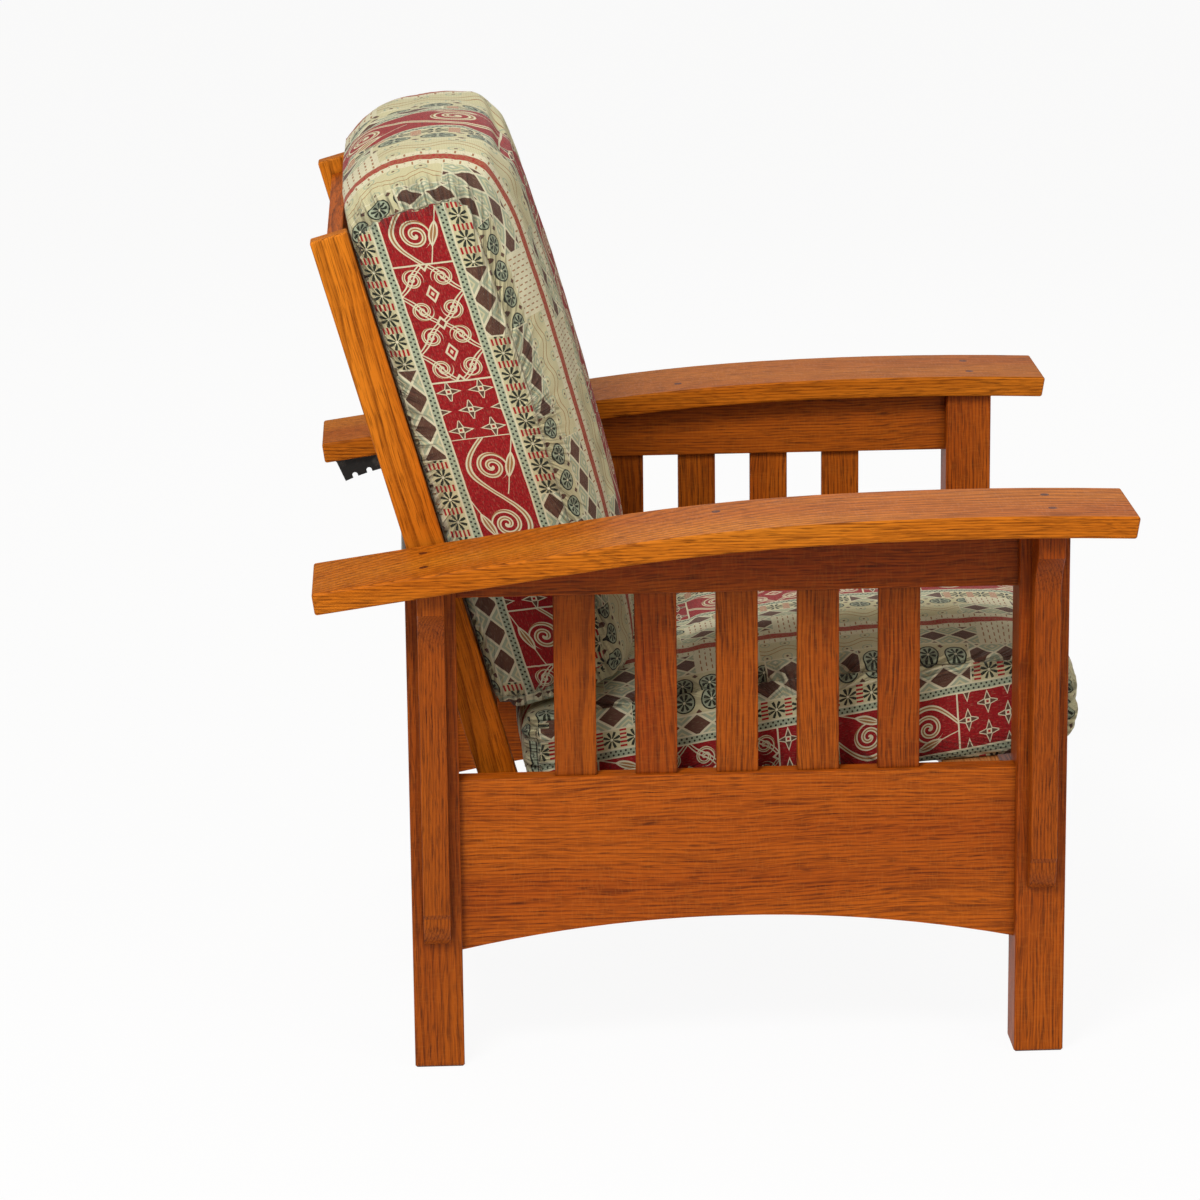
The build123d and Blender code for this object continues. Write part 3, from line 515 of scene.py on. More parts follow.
@dataclass
class Woodwork:
    """Every board of the chair, each with grain along its own length."""

    show_oak: Oak = Oak()
    honey_oak: Oak = Oak(
        light=rgb(214, 128, 32), middle=rgb(184, 90, 10), gloss=0.06, lacquer=0.0
    )
    deck_oak: Oak = Oak(
        light=rgb(205, 138, 78),
        middle=rgb(178, 104, 52),
        dark=rgb(130, 70, 30),
        lacquer=0.1,
        roughness=0.5,
    )
    plug_oak: Oak = Oak(light=rgb(120, 52, 20), middle=rgb(96, 38, 14), dark=rgb(60, 24, 10))

    def plan(self, node: str) -> tuple[Oak, Grain, float, float] | None:
        """Say which wood, grain, lean and tone a node has.

        Args:
            node: The CAD node's name.

        Returns:
            The four, or None where the node isn't wood.
        """
        show, honey, deck, plug = self.show_oak, self.honey_oak, self.deck_oak, self.plug_oak
        # The last number is each board's lightness. The slats, upper side rails, rear legs and
        # corbels are darkened as painted shade, since they lie in shadow under the arms. The other
        # differences are the boards' own tone.
        rules = (
            ("front_leg", show, Grain.UPRIGHT_SIDE, 0.0, 0.87),
            ("rear_leg", show, Grain.UPRIGHT_SIDE, 0.0, 0.74),
            ("side_slat", show, Grain.UPRIGHT_SIDE, 0.0, 0.73),
            ("front_corbel", show, Grain.UPRIGHT_FRONT, 0.0, 0.80),
            ("rear_corbel", show, Grain.UPRIGHT_FRONT, 0.0, 0.74),
            ("lower_side_rail", show, Grain.LENGTHWISE_TALL, 0.0, 0.96),
            ("upper_side_rail", show, Grain.LENGTHWISE_TALL, 0.0, 0.76),
            ("arm_plugs", plug, Grain.LENGTHWISE_FLAT, 0.0, 0.90),
            ("arm_left", honey, Grain.LENGTHWISE_FLAT, 0.0, 0.98),
            ("arm_right", honey, Grain.LENGTHWISE_FLAT, 0.0, 0.98),
            ("front_seat_rail", show, Grain.CROSSWISE_TALL, 0.0, 0.96),
            ("rear_seat_rail", show, Grain.CROSSWISE_TALL, 0.0, 0.90),
            ("seat_cleat", deck, Grain.LENGTHWISE_TALL, 0.0, 0.90),
            ("deck_slat", deck, Grain.CROSSWISE_FLAT, 0.0, 1.0),
            ("back_stile", honey, Grain.UPRIGHT_SIDE, BACK_LEAN, 1.0),
            ("back_top_rail", show, Grain.CROSSWISE_TALL, BACK_LEAN, 1.0),
            ("back_bottom_rail", show, Grain.CROSSWISE_TALL, BACK_LEAN, 0.96),
            ("back_slat", show, Grain.UPRIGHT_FRONT, BACK_LEAN, 0.96),
        )
        for start, *plan in rules:
            if node.startswith(start):
                return tuple(plan)
        return None

    def dress(self) -> None:
        """Give every board its own piece of wood."""
        for number, (node, piece) in enumerate(sorted(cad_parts.items()), 1):
            found = self.plan(node)
            if found is None:
                continue
            oak, grain, lean, tone_and_painted_shade = found
            give(piece, oak.material(f"wood_{node}", grain, lean, tone_and_painted_shade, float(number)))
            LOG.info("dressed %s", node)


def give(piece: bpy.types.Object, material: bpy.types.Material) -> None:
    """Put one material on all of a piece.

    Args:
        piece: The piece.
        material: The material.
    """
    if not piece.data.materials:
        piece.data.materials.append(material)
    for slot in piece.material_slots:
        slot.material = material


# Metal


@dataclass(frozen=True)
class Metal:
    """A steel finish: a colour, a gloss and how far it is worn."""

    name: str
    colour: Colour
    worn: Colour
    roughness: float
    metallic: float
    cloud_scale: float = 60.0
    grit_scale: float = 900.0
    wear_range: Span = (0.66, 0.82)
    wear_share: float = 0.5
    relief: float = 0.00008

    def material(self) -> bpy.types.Material:
        """Build the finish.

        Returns:
            The material.
        """
        board = Board.material(self.name)
        place = board.coords()
        cloud = board.noise(place, self.cloud_scale, 4.0, 0.6)
        grit = board.noise(place, self.grit_scale, 2.0)
        wear = (cloud + grit * 0.25).ramp(*self.wear_range)
        return board.surface(
            Base_Color=board.mix(wear * self.wear_share, self.colour, self.worn),
            Roughness=self.roughness + cloud * 0.15 - wear * 0.08,
            Metallic=self.metallic,
            Normal=board.bump(grit, self.relief, 0.5),
        )


@dataclass
class Hardware:
    """The hinge, rack, latch and screw nodes.

    The starts are those of the nodes' names. Zinc is looked for first.
    """

    black: Metal = Metal("black_steel", rgb(38, 36, 34), rgb(96, 90, 84), 0.42, 0.6)
    zinc: Metal = Metal("zinc_steel", rgb(150, 150, 148), rgb(196, 194, 188), 0.32, 1.0)
    black_starts: tuple[str, ...] = ("hinge_plate", "hinge_arm", "recline_rack")
    zinc_starts: tuple[str, ...] = (
        "arm_screws",
        "frame_screws",
        "hinge_arm_screws",
        "hinge_bolts",
        "latch_",
        "release_bar",
    )

    def dress(self) -> None:
        """Give each steel node its finish."""
        black, zinc = self.black.material(), self.zinc.material()
        for node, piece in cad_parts.items():
            if node.startswith(self.zinc_starts):
                give(piece, zinc)
            elif node.startswith(self.black_starts):
                give(piece, black)
            else:
                continue
            LOG.info("dressed %s", node)


# Cloth


@dataclass(frozen=True)
class Tapestry:
    """A woven patchwork of red, cream, sage and brown.

    The cloth's own map is in metres: u runs across the columns of the
    patchwork and v along them. The columns are mirrored about a red one.
    Every motif is a method that takes the board, the place and, where it
    lies on another colour, that colour.
    """

    cream: Colour = rgb(222, 216, 172)
    pale: Colour = rgb(238, 233, 200)
    sage: Colour = rgb(178, 190, 162)
    red: Colour = rgb(182, 22, 30)
    deep_red: Colour = rgb(142, 10, 20)
    brown: Colour = rgb(104, 70, 56)
    tan: Colour = rgb(176, 126, 78)
    ink: Colour = rgb(44, 50, 40)
    # The seam colour is partly the dark thread line and partly painted shade in the sewn groove
    # and in the creases of the gathers.
    seam_tint_and_painted_shade: Colour = rgb(96, 74, 52)
    # Painted shade in the low parts of the weave, where threads dip under each other.
    weave_painted_shade: Colour = rgb(92, 74, 54)
    age_tint: Colour = rgb(226, 208, 168)
    repeat_u: float = 0.300
    repeat_shift: float = 0.091
    cell_v: float = 0.066
    column_half: float = 0.032
    dots_half: float = 0.0045
    third_start: float = 0.0640
    fourth_start: float = 0.0960
    ticks_start: float = 0.1340
    stripe_start: float = 0.1430
    second_middle: float = 0.0520
    third_middle: float = 0.0785
    fourth_middle: float = 0.1140
    border_half: float = 0.0009
    thread: float = 0.0011
    drift: float = 0.0024
    weave_share: float = 0.34
    weave_relief: float = 0.00045
    slub_range: Span = (0.55, 0.8)
    slub_share: float = 0.18
    age_range: Span = (0.3, 0.8)
    age_share: float = 0.22
    stitch_range: Span = (0.0006, 0.0026)
    thread_and_groove_shade_share: float = 0.80
    gather_range: Span = (0.003, 0.026)
    crease_range: Span = (0.47, 0.62)
    crease_painted_shade_share: float = 0.46
    crease_relief: float = 0.0050

    def stars(self, b: Board, u: Sock, v: Sock, base: Sock) -> Sock:
        """Lay staggered four-pointed stars.

        Args:
            b: The board to build on.
            u: Metres across.
            v: Metres along.
            base: The colour below.

        Returns:
            The colour with the stars.
        """
        wide, high = 0.034, 0.022
        edge, body, hole, eye = 0.0138, 0.0108, 0.0030, 0.0014
        row = ((v / high).whole() * 0.5).frac()
        cu, cv = (u + row * wide).cell(wide), v.cell(high)
        reach = (abs(cu) + abs(cv)) + (abs(cu) & abs(cv)) * 1.9
        base = b.mix(reach < edge, base, self.pale)
        base = b.mix(reach < body, base, self.brown)
        middle = abs(cu) | abs(cv)
        base = b.mix(middle < hole, base, self.pale)
        return b.mix(middle < eye, base, self.red)

    def curl(self, b: Board, u: Sock, v: Sock, base: Sock, pitch: float, reach: float) -> Sock:
        """Lay one spiral about the point where u and v are 0.

        Args:
            b: The board to build on.
            u: Metres across.
            v: Metres along.
            base: The colour below.
            pitch: Metres from one turn to the next.
            reach: The spiral's radius.

        Returns:
            The colour with the spiral.
        """
        line_share, core_share, eye_share = 0.27, 0.09, 0.4
        far = (u * u + v * v).root()
        line = abs((far / pitch - v.angle(u)).frac() - 0.5)
        inside = far < reach
        base = b.mix((line < line_share) & inside, base, self.pale)
        return b.mix((line < core_share) & inside & (far > pitch * eye_share), base, self.tan)

    def vine(self, b: Board, u: Sock, v: Sock, base: Sock) -> Sock:
        """Lay a running vine with curls and leaves along v.

        Args:
            b: The board to build on.
            u: Metres across.
            v: Metres along.
            base: The colour below.

        Returns:
            The colour with the vine.
        """
        swing, stem_half, stem_core = 0.022, 0.0030, 0.0010
        curl_at, curl_pitch, curl_reach = 0.002, 0.0086, 0.0165
        leaf_u, leaf_v, leaf_at, leaf_slant = 0.0052, 0.0150, 0.021, 0.35
        leaf_core, rib_half = 0.62, 0.0006
        wave = (v * (math.pi / self.cell_v)).sin()
        sign = (wave > 0) * 2 - 1
        stem = abs(u - wave * swing)
        base = b.mix(stem < stem_half, base, self.pale)
        base = b.mix(stem < stem_core, base, self.tan)
        cv = v.cell(self.cell_v)
        across = u * sign
        base = self.curl(b, across + curl_at, cv, base, curl_pitch, curl_reach)
        slant = abs(across + leaf_at + cv * leaf_slant)
        leaf = slant / leaf_u + (cv / leaf_v) * (cv / leaf_v)
        base = b.mix(leaf < 1.0, base, self.pale)
        base = b.mix(leaf < leaf_core, base, self.tan)
        return b.mix(slant < rib_half, base, self.pale)

    def trellis(self, b: Board, u: Sock, v: Sock, base: Sock) -> Sock:
        """Lay mirrored curls in a pointed trellis.

        Args:
            b: The board to build on.
            u: Metres across.
            v: Metres along.
            base: The colour below.

        Returns:
            The colour with the trellis.
        """
        curl_u, curl_v, curl_pitch, curl_reach = 0.0150, 0.0180, 0.0062, 0.0112
        arch_u, arch_v, arch_half, ripple, ripple_rate = 0.032, 0.033, 0.032, 0.06, 190
        heart_u, heart_v, tip_u, tip_v, tip_core = 0.0072, 0.0105, 0.0060, 0.0080, 0.55
        cv = abs(v.cell(self.cell_v))
        cu = abs(u)
        base = self.curl(b, cu - curl_u, cv - curl_v, base, curl_pitch, curl_reach)
        for reach in (0.98, 1.13):
            bend = (cv * ripple_rate).sin() * ripple
            arch = abs(cu / arch_u + cv / arch_v + bend - reach)
            base = b.mix(arch < arch_half, base, self.pale)
        heart = cu / heart_u + cv / heart_v
        for share, colour in ((1.0, self.pale), (0.64, self.red), (0.28, self.pale)):
            base = b.mix(heart < share, base, colour)
        tip = cu / tip_u + abs(cv - self.cell_v / 2) / tip_v
        base = b.mix(tip < 1.0, base, self.pale)
        return b.mix(tip < tip_core, base, self.deep_red)

    def dots(self, b: Board, u: Sock, v: Sock) -> Sock:
        """Lay rows of small dark dots on a sage band.

        Args:
            b: The board to build on.
            u: Metres across.
            v: Metres along.

        Returns:
            The band's colour.
        """
        wide, high, radius_squared = 0.0036, 0.0056, 0.0000014
        row = ((u / wide).whole() * 0.5).frac()
        cu, cv = u.cell(wide), (v + row * high).cell(high)
        return b.mix(cu * cu + cv * cv < radius_squared, self.sage, self.ink)

    def asters(self, b: Board, u: Sock, v: Sock) -> Sock:
        """Lay dark asters between bundles of red stripes.

        Args:
            b: The board to build on.
            u: Metres across.
            v: Metres along.

        Returns:
            The column's colour.
        """
        pitch, reach, stripes_start, stripe_pitch = 0.026, 0.0098, 0.0092, 0.0044
        cv = v.cell(pitch)
        stripes = (abs(cv) > stripes_start) & ((u / stripe_pitch).frac() < 0.5)
        base = b.mix(stripes, self.cream, self.red)
        return self.aster(b, u, cv, base, reach)

    def aster(self, b: Board, u: Sock, v: Sock, base: Any, reach: float) -> Sock:
        """Lay one dark eight-rayed aster.

        Args:
            b: The board to build on.
            u: Metres across.
            v: Metres along.
            base: The colour below.
            reach: The aster's radius.

        Returns:
            The colour with the aster.
        """
        rays, ray_half, ray_share, eye_share = 8, 0.0019, 0.3, 0.16
        far = (u * u + v * v).root()
        ray = abs((v.angle(u) * rays).frac() - 0.5)
        inside = (ray * far < ray_half) & (ray < ray_share) & (far < reach)
        base = b.mix(inside, base, self.ink)
        return b.mix(far < reach * eye_share, base, self.pale)

    def lozenges(self, b: Board, u: Sock, v: Sock) -> Sock:
        """Lay brown and sage lozenges edged in cream.

        Args:
            b: The board to build on.
            u: Metres across.
            v: Metres along.

        Returns:
            The column's colour.
        """
        wide, high, edge = 0.026, 0.034, 0.44
        p, q = u / wide + v / high, u / wide - v / high
        pick = ((p.whole() + q.whole()) * 0.5).frac() > 0.25
        middle = abs(p.frac() - 0.5) | abs(q.frac() - 0.5)
        inner: Any = self.sage
        for share, colour in ((0.30, self.cream), (0.21, self.sage), (0.09, self.pale)):
            inner = b.mix(middle < share, inner, colour)
        fill = b.mix(pick, inner, self.brown)
        return b.mix(middle > edge, fill, self.pale)

    def rosettes(self, b: Board, u: Sock, v: Sock) -> Sock:
        """Lay thin rings round small asters on cream.

        Args:
            b: The board to build on.
            u: Metres across.
            v: Metres along.

        Returns:
            The column's colour.
        """
        pitch, radius, line_half, reach = 0.030, 0.0112, 0.0008, 0.0090
        lozenge_at, lozenge_half = 0.0125, 0.0032
        cv = v.cell(pitch)
        far = (u * u + cv * cv).root()
        base = b.mix(abs(far - radius) < line_half, self.cream, self.ink)
        base = b.mix(far < radius - line_half, base, self.sage)
        base = self.aster(b, u, cv, base, reach)
        gap = abs(abs(u) - lozenge_at) + abs(abs(cv) - pitch / 2)
        return b.mix(gap < lozenge_half, base, self.brown)

    def ferns(self, b: Board, u: Sock, v: Sock) -> Sock:
        """Lay faint curled lines and dots over a cream field.

        Args:
            b: The board to build on.
            u: Metres across.
            v: Metres along.

        Returns:
            The column's colour.
        """
        wave_pitch, wave_half, stem_gap, line_half = 0.044, 0.005, 0.0040, 0.0006
        ring_at, ring_radius, dot_radius = 0.0145, 0.0050, 0.0014
        wave = (v * (2 * math.pi / wave_pitch)).sin() * wave_half
        base = b.mix(abs(abs(u + wave) - stem_gap) < line_half, self.cream, self.tan)
        cu, cv = abs(u) - ring_at, v.cell(wave_pitch / 2)
        far = (cu * cu + cv * cv).root()
        base = b.mix(abs(far - ring_radius) < line_half, base, self.sage)
        return b.mix(far < dot_radius, base, self.brown)

    def ticks(self, b: Board, u: Sock, v: Sock) -> Sock:
        """Lay short tan ticks on pale cloth.

        Args:
            b: The board to build on.
            u: Metres across.
            v: Metres along.

        Returns:
            The cloth's colour.
        """
        wide, high, half_length, half_width = 0.012, 0.006, 0.0034, 0.0007
        row = ((v / high).whole() * 0.5).frac()
        cu, cv = (u + row * wide).cell(wide), v.cell(high)
        return b.mix((abs(cu) < half_length) & (abs(cv) < half_width), self.pale, self.tan)

    def stack(self, b: Board, along: Sock, patches: list[tuple[float, Sock]]) -> Sock:
        """Lay patches one above the other and repeat them.

        Args:
            b: The board to build on.
            along: Metres along the column.
            patches: Each patch's length in metres and its colour.

        Returns:
            The colour of the column.
        """
        period = sum(length for length, _ in patches)
        place = (along / period).frac() * period
        start, column = patches[0]
        for length, patch in patches[1:]:
            column = b.mix(place > start, column, patch)
            column = b.mix(abs(place - start) < self.border_half, column, self.pale)
            start += length
        return b.mix(place < self.border_half, column, self.pale)

    def main_column(self, b: Board, across: Sock, along: Sock, red: Sock) -> Sock:
        """Lay the red column's patches.

        Args:
            b: The board to build on.
            across: Metres from the column's middle.
            along: Metres along it.
            red: The ground colour.

        Returns:
            The colour of the column.
        """
        cell = self.cell_v
        return self.stack(b, along, [
            (cell, self.stars(b, across, along, red)),
            (2 * cell, self.trellis(b, across, along, red)),
            (cell, self.vine(b, across, along, red)),
            (cell, self.stars(b, across, along, red)),
            (2 * cell, self.vine(b, across, along, red)),
        ])

    def pattern(self, b: Board, u: Sock, v: Sock) -> Sock:
        """Lay the columns of the patchwork side by side.

        Args:
            b: The board to build on.
            u: Metres across the columns.
            v: Metres along the columns.

        Returns:
            The cloth's colour.
        """
        repeats = u / self.repeat_u + 0.5
        across = repeats.frac() * self.repeat_u - self.repeat_u / 2
        along = v + repeats.whole() * self.repeat_shift
        mottle = b.noise(b.join(u, v, 0.0), 420.0, 2.0).ramp(0.35, 0.65)
        red = b.mix(mottle, self.red, self.deep_red)
        cloth = self.main_column(b, across, along, red)
        far, on_right = abs(across), across > 0
        asters = self.asters(b, far - self.second_middle, along)
        lattice = self.lozenges(b, far - self.second_middle, along)
        rosettes = self.rosettes(b, far - self.third_middle, along)
        wide = self.lozenges(b, far - self.third_middle, along + 0.011)
        ferns = self.ferns(b, far - self.fourth_middle, along)
        outer = self.lozenges(b, far - self.fourth_middle, along)
        ticks = self.ticks(b, far, along)
        second = b.mix(
            on_right,
            self.stack(b, along + 0.020, [(0.104, lattice), (0.156, asters)]),
            self.stack(b, along + 0.071, [(0.182, asters), (0.078, lattice)]),
        )
        third = b.mix(
            on_right,
            self.stack(b, along + 0.045, [(0.150, rosettes), (0.119, wide), (0.048, ticks)]),
            self.stack(b, along, [(0.102, wide), (0.120, rosettes)]),
        )
        fourth = self.stack(b, along + 0.033, [(0.140, ferns), (0.070, ticks), (0.102, outer)])
        columns: list[tuple[float, Sock]] = [
            (self.column_half, self.dots(b, far - self.column_half - self.dots_half, along)),
            (self.column_half + 2 * self.dots_half, second),
            (self.third_start, third),
            (self.fourth_start, fourth),
            (self.ticks_start, ticks),
            (self.stripe_start, b.mix(mottle * 0.7, self.red, self.tan)),
        ]
        for start, column in columns:
            cloth = b.mix(far > start, cloth, column)
            cloth = b.mix(abs(far - start) < self.border_half, cloth, self.pale)
        return cloth

    def weave(self, u: Sock, v: Sock) -> Sock:
        """Give the height of crossing threads.

        Args:
            u: Metres across.
            v: Metres along.

        Returns:
            Values from 0 to 1.
        """
        across, along = u / self.thread, v / self.thread
        warp = abs(across.frac() - 0.5) * 2
        weft = abs(along.frac() - 0.5) * 2
        over = ((across.whole() + along.whole()) * 0.5).frac() > 0.25
        return over * (1 - warp) + (1 - over) * (1 - weft)

    def material(self, name: str, layer: str) -> bpy.types.Material:
        """Build the cloth from a piece's own map.

        Args:
            name: The material's name.
            layer: The name of the map on the mesh.

        Returns:
            The material.
        """
        b = Board.material(name)
        place = b.node("ShaderNodeUVMap", {"uv_map": layer}, {})
        u, v, _ = b.split(place)
        drift_u = (b.noise(place, 26.0, 2.0) - 0.5) * self.drift
        drift_v = (b.noise(place, 21.0) - 0.5) * self.drift
        cloth = self.pattern(b, u + drift_u, v + drift_v)
        weave = self.weave(u, v)
        slub = b.noise(b.join(u * 900, v * 160, 0.0), 1.0, 2.0)
        age = b.noise(place, 7.0, 3.0)
        gap, run = b.attribute(SEAM_GAP), b.attribute(SEAM_RUN)
        stitch = 1 - abs(gap).ramp(*self.stitch_range)
        close = 1 - abs(gap).ramp(*self.gather_range)
        folds = b.noise(b.join(run * 120, gap * 14, 0.0), 1.0, 2.0)
        crease = folds.ramp(*self.crease_range) * close
        # Painted shade in the seam's groove and in the creases of its gathers, over the dark
        # thread line of the stitches.
        thread_and_painted_shade = stitch * self.thread_and_groove_shade_share | crease * self.crease_painted_shade_share
        # Painted shade in the low parts of the weave.
        cloth = b.mix((1 - weave) * self.weave_share, cloth, self.weave_painted_shade, "MULTIPLY")
        cloth = b.mix(thread_and_painted_shade, cloth, self.seam_tint_and_painted_shade, "MULTIPLY")
        cloth = b.mix(slub.ramp(*self.slub_range) * self.slub_share, cloth, self.cream)
        cloth = b.mix(age.ramp(*self.age_range) * self.age_share, cloth, self.age_tint, "MULTIPLY")
        gathers = b.bump(-stitch - crease, self.crease_relief, 1.0)
        return b.surface(
            Base_Color=cloth,
            Roughness=0.88,
            Normal=b.bump(weave + slub * 0.7, self.weave_relief, 0.8, gathers),
            Sheen_Weight=0.15,
            Sheen_Roughness=0.5,
            Specular_IOR_Level=0.2,
        )


# Cushions


class Fold(Enum):
    """The way the cloth runs on a cushion."""

    OVER_SEAT = "over_seat"
    UP_BACK = "up_back"


@dataclass
class Cushion:
    """One loose cushion that fills out the room of its plain solid.

    Lengths are in metres. A flat place is one in the cushion's own axes: X
    across, Y along the depth and Z up from its middle, turned by the lean.
    """

    node: str
    body: str
    fold: Fold
    lean: float
    voxel: float = 0.007
    start_inset: float = 0.003
    merge_reach: float = 0.00002
    pressure: float = 4.0
    frames: int = 20
    held_width: float = 0.008
    cap: float = 0.022
    rest_facing: float = 0.8
    side_facing: float = 0.6
    touch_rear: float = 0.10
    touch_low: float = 0.085
    proud: float = 0.004
    side_proud: float = 0.005
    slack: float = 0.0035
    front_least: float = -0.0035
    front_proud: float = 0.004
    sag_height: float = 0.072
    sag_share: float = 0.90
    shoulder_push: float = 0.015
    shoulder_drop: float = 0.035
    shoulder_spread: float = 0.105
    shoulder_round: float = 0.062
    waist_draw: float = 0.006
    waist_spread: float = 0.13
    seam_inset: float = 0.008
    seam_width: float = 0.0042
    seam_depth: float = 0.0045
    pucker_height: float = 0.0125
    pucker_pitch: float = 0.0145
    pucker_reach: float = 0.020
    pucker_start: float = 0.004
    pucker_most: float = 0.35
    gather_least: float = 0.30
    soft_height: float = 0.0016
    crease_height: float = 0.0009
    level_share: float = 0.3
    nose_share: float = 0.56
    side_blend: float = 0.2
    seat_thick_share: float = 0.85
    seat_side_drop: float = 0.026
    seat_side_slant: float = 0.10
    seat_side_shift: float = 0.04
    seat_shift: Span = (0.068, 0.07)
    back_side_slant: Span = (0.02, 0.18)
    back_shift: float = 0.062
    cloth: Tapestry = Tapestry()

    def local(self, point: Vector) -> Vector:
        """Give the flat place of a point of the chair."""
        return self.unturn @ (point - self.middle)

    def build(self) -> bpy.types.Object:
        """Make the cushion.

        Returns:
            The finished piece.
        """
        self.low, self.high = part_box(self.node)
        self.middle = (self.low + self.high) / 2
        self.unturn = Matrix.Rotation(math.radians(self.lean), 3, "X")
        self.seam = self.high.x - self.seam_inset
        self.solid = self.copy_solid()
        piece = self.start_form()
        room = BVHTree.FromObject(self.solid, bpy.context.evaluated_depsgraph_get())
        self.inflate(piece)
        self.settle(piece, room)
        self.refine(piece)
        self.measure(piece)
        self.sew(piece)
        self.map_cloth(piece)
        bpy.data.objects.remove(self.solid, do_unlink=True)
        give(piece, self.cloth.material(f"{self.node}_cloth", CLOTH_MAP))
        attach(piece, self.body)
        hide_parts(self.node)
        LOG.info("made %s", piece.name)
        return piece

    def copy_solid(self) -> bpy.types.Object:
        """Copy the node's plain solid and close it.

        Returns:
            The closed copy, which is the room that the cover fills.
        """
        only()
        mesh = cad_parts[self.node].data.copy()
        solid = bpy.data.objects.new(f"{self.node}_room", mesh)
        bpy.context.collection.objects.link(solid)
        select(solid)
        bpy.ops.object.mode_set(mode="EDIT")
        bpy.ops.mesh.select_all(action="SELECT")
        bpy.ops.mesh.remove_doubles(threshold=self.merge_reach)
        bpy.ops.mesh.normals_make_consistent(inside=False)
        bpy.ops.object.mode_set(mode="OBJECT")
        return solid

    def start_form(self) -> bpy.types.Object:
        """Remesh a copy of the solid evenly and a little smaller.

        Returns:
            The cover's first form.
        """
        piece = bpy.data.objects.new(f"{self.node}_padded", self.solid.data.copy())
        bpy.context.collection.objects.link(piece)
        piece.data.materials.clear()
        select(piece)
        remesh = piece.modifiers.new("even_faces", "REMESH")
        remesh.mode = "VOXEL"
        remesh.voxel_size = self.voxel
        bpy.ops.object.modifier_apply(modifier=remesh.name)
        normals = [v.normal.copy() for v in piece.data.vertices]
        for vertex, normal in zip(piece.data.vertices, normals):
            vertex.co -= normal * self.start_inset
        return piece

    def inflate(self, piece: bpy.types.Object) -> None:
        """Blow the cover up with the cloth simulation and keep the result.

        Args:
            piece: The cover.
        """
        held = self.hold(piece)
        select(piece)
        before = [v.co.copy() for v in piece.data.vertices]
        cover = piece.modifiers.new("cover", "CLOTH")
        cover.settings.quality = 6
        cover.settings.mass = 0.35
        cover.settings.tension_stiffness = 12
        cover.settings.compression_stiffness = 12
        cover.settings.bending_stiffness = 0.6
        cover.settings.shrink_min = -0.018
        cover.settings.use_pressure = True
        cover.settings.uniform_pressure_force = self.pressure
        cover.settings.vertex_group_mass = held
        cover.settings.effector_weights.gravity = 0.0
        cover.collision_settings.use_collision = False
        for step in range(1, self.frames + 1):
            bpy.context.scene.frame_set(step)
        bpy.ops.object.modifier_apply(modifier=cover.name)
        bpy.context.scene.frame_set(1)
        piece.vertex_groups.clear()
        for vertex, start in zip(piece.data.vertices, before):
            move = vertex.co - start
            if move.length > self.cap:
                vertex.co = start + move.normalized() * self.cap
        LOG.info("inflated %s", piece.name)

    def hold(self, piece: bpy.types.Object) -> str:
        """Mark what the simulation may not move: the seams and what rests.

        Args:
            piece: The cover.

        Returns:
            The name of the vertex group.
        """
        held = piece.vertex_groups.new(name="held")
        for vertex in piece.data.vertices:
            gap = abs(abs(vertex.co.x) - self.seam)
            weight = max(0.0, 1 - gap / self.held_width)
            if self.rests(self.unturn @ vertex.normal):
                weight = 1.0
            if weight > 0:
                held.add([vertex.index], weight, "REPLACE")
        return held.name

    def rests(self, facing: Vector) -> bool:
        """Say if a face lies on something.

        Args:
            facing: The way the face points, in the cushion's own axes.

        Returns:
            True where it does.
        """
        if self.fold is Fold.OVER_SEAT:
            return facing.z < -self.rest_facing
        return facing.y > self.rest_facing or facing.z < -self.rest_facing

    def meets_other(self, flat: Vector) -> bool:
        """Say if a place is where the two cushions press on each other.

        Args:
            flat: The flat place.

        Returns:
            True where it is.
        """
        if self.fold is Fold.OVER_SEAT:
            return flat.y > self.touch_rear
        return flat.z < self.bottom + self.touch_low

    def settle(self, piece: bpy.types.Object, room: BVHTree) -> None:
        """Keep the cover near its solid, and flat where it rests.

        Args:
            piece: The cover.
            room: The solid's faces, for the nearest point on them.
        """
        self.bottom = min(self.local(v.co).z for v in self.solid.data.vertices)
        for vertex in piece.data.vertices:
            near, normal, _, _ = room.find_nearest(vertex.co)
            out = (vertex.co - near).dot(normal)
            facing = self.unturn @ normal
            least, most = -self.slack, self.proud
            if self.rests(facing):
                least, most = 0.0, 0.0
            elif self.meets_other(self.local(near)):
                most = 0.0
            elif abs(facing.x) > self.side_facing:
                most = self.side_proud
            elif facing.y < -self.side_facing:
                least, most = self.front_least, self.front_proud
            wanted = min(max(out, least), most)
            vertex.co += normal * (wanted - out)
        if self.fold is Fold.OVER_SEAT:
            self.sag(piece)
        else:
            self.fill_shoulder(piece)

    def fill_shoulder(self, piece: bpy.types.Object) -> None:
        """Push the upper front of a back cushion out and draw its middle in.

        Args:
            piece: The cover.
        """
        places = [self.local(v.co) for v in piece.data.vertices]
        top, rear = max(p.z for p in places), max(p.y for p in places)
        thick = rear - min(p.y for p in places)
        forward = self.unturn.transposed() @ Vector((0, -1, 0))
        for vertex, place in zip(piece.data.vertices, places):
            past = top - place.z - self.shoulder_drop
            full = math.exp(-((past / self.shoulder_spread) ** 2))
            slim = math.exp(-(((past - 3 * self.shoulder_spread) / self.waist_spread) ** 2))
            share = max(0.0, (rear - place.y) / thick)
            move = (full * self.shoulder_push - slim * self.waist_draw) * share * share
            vertex.co += forward * move
        self.round_shoulder(piece, top)

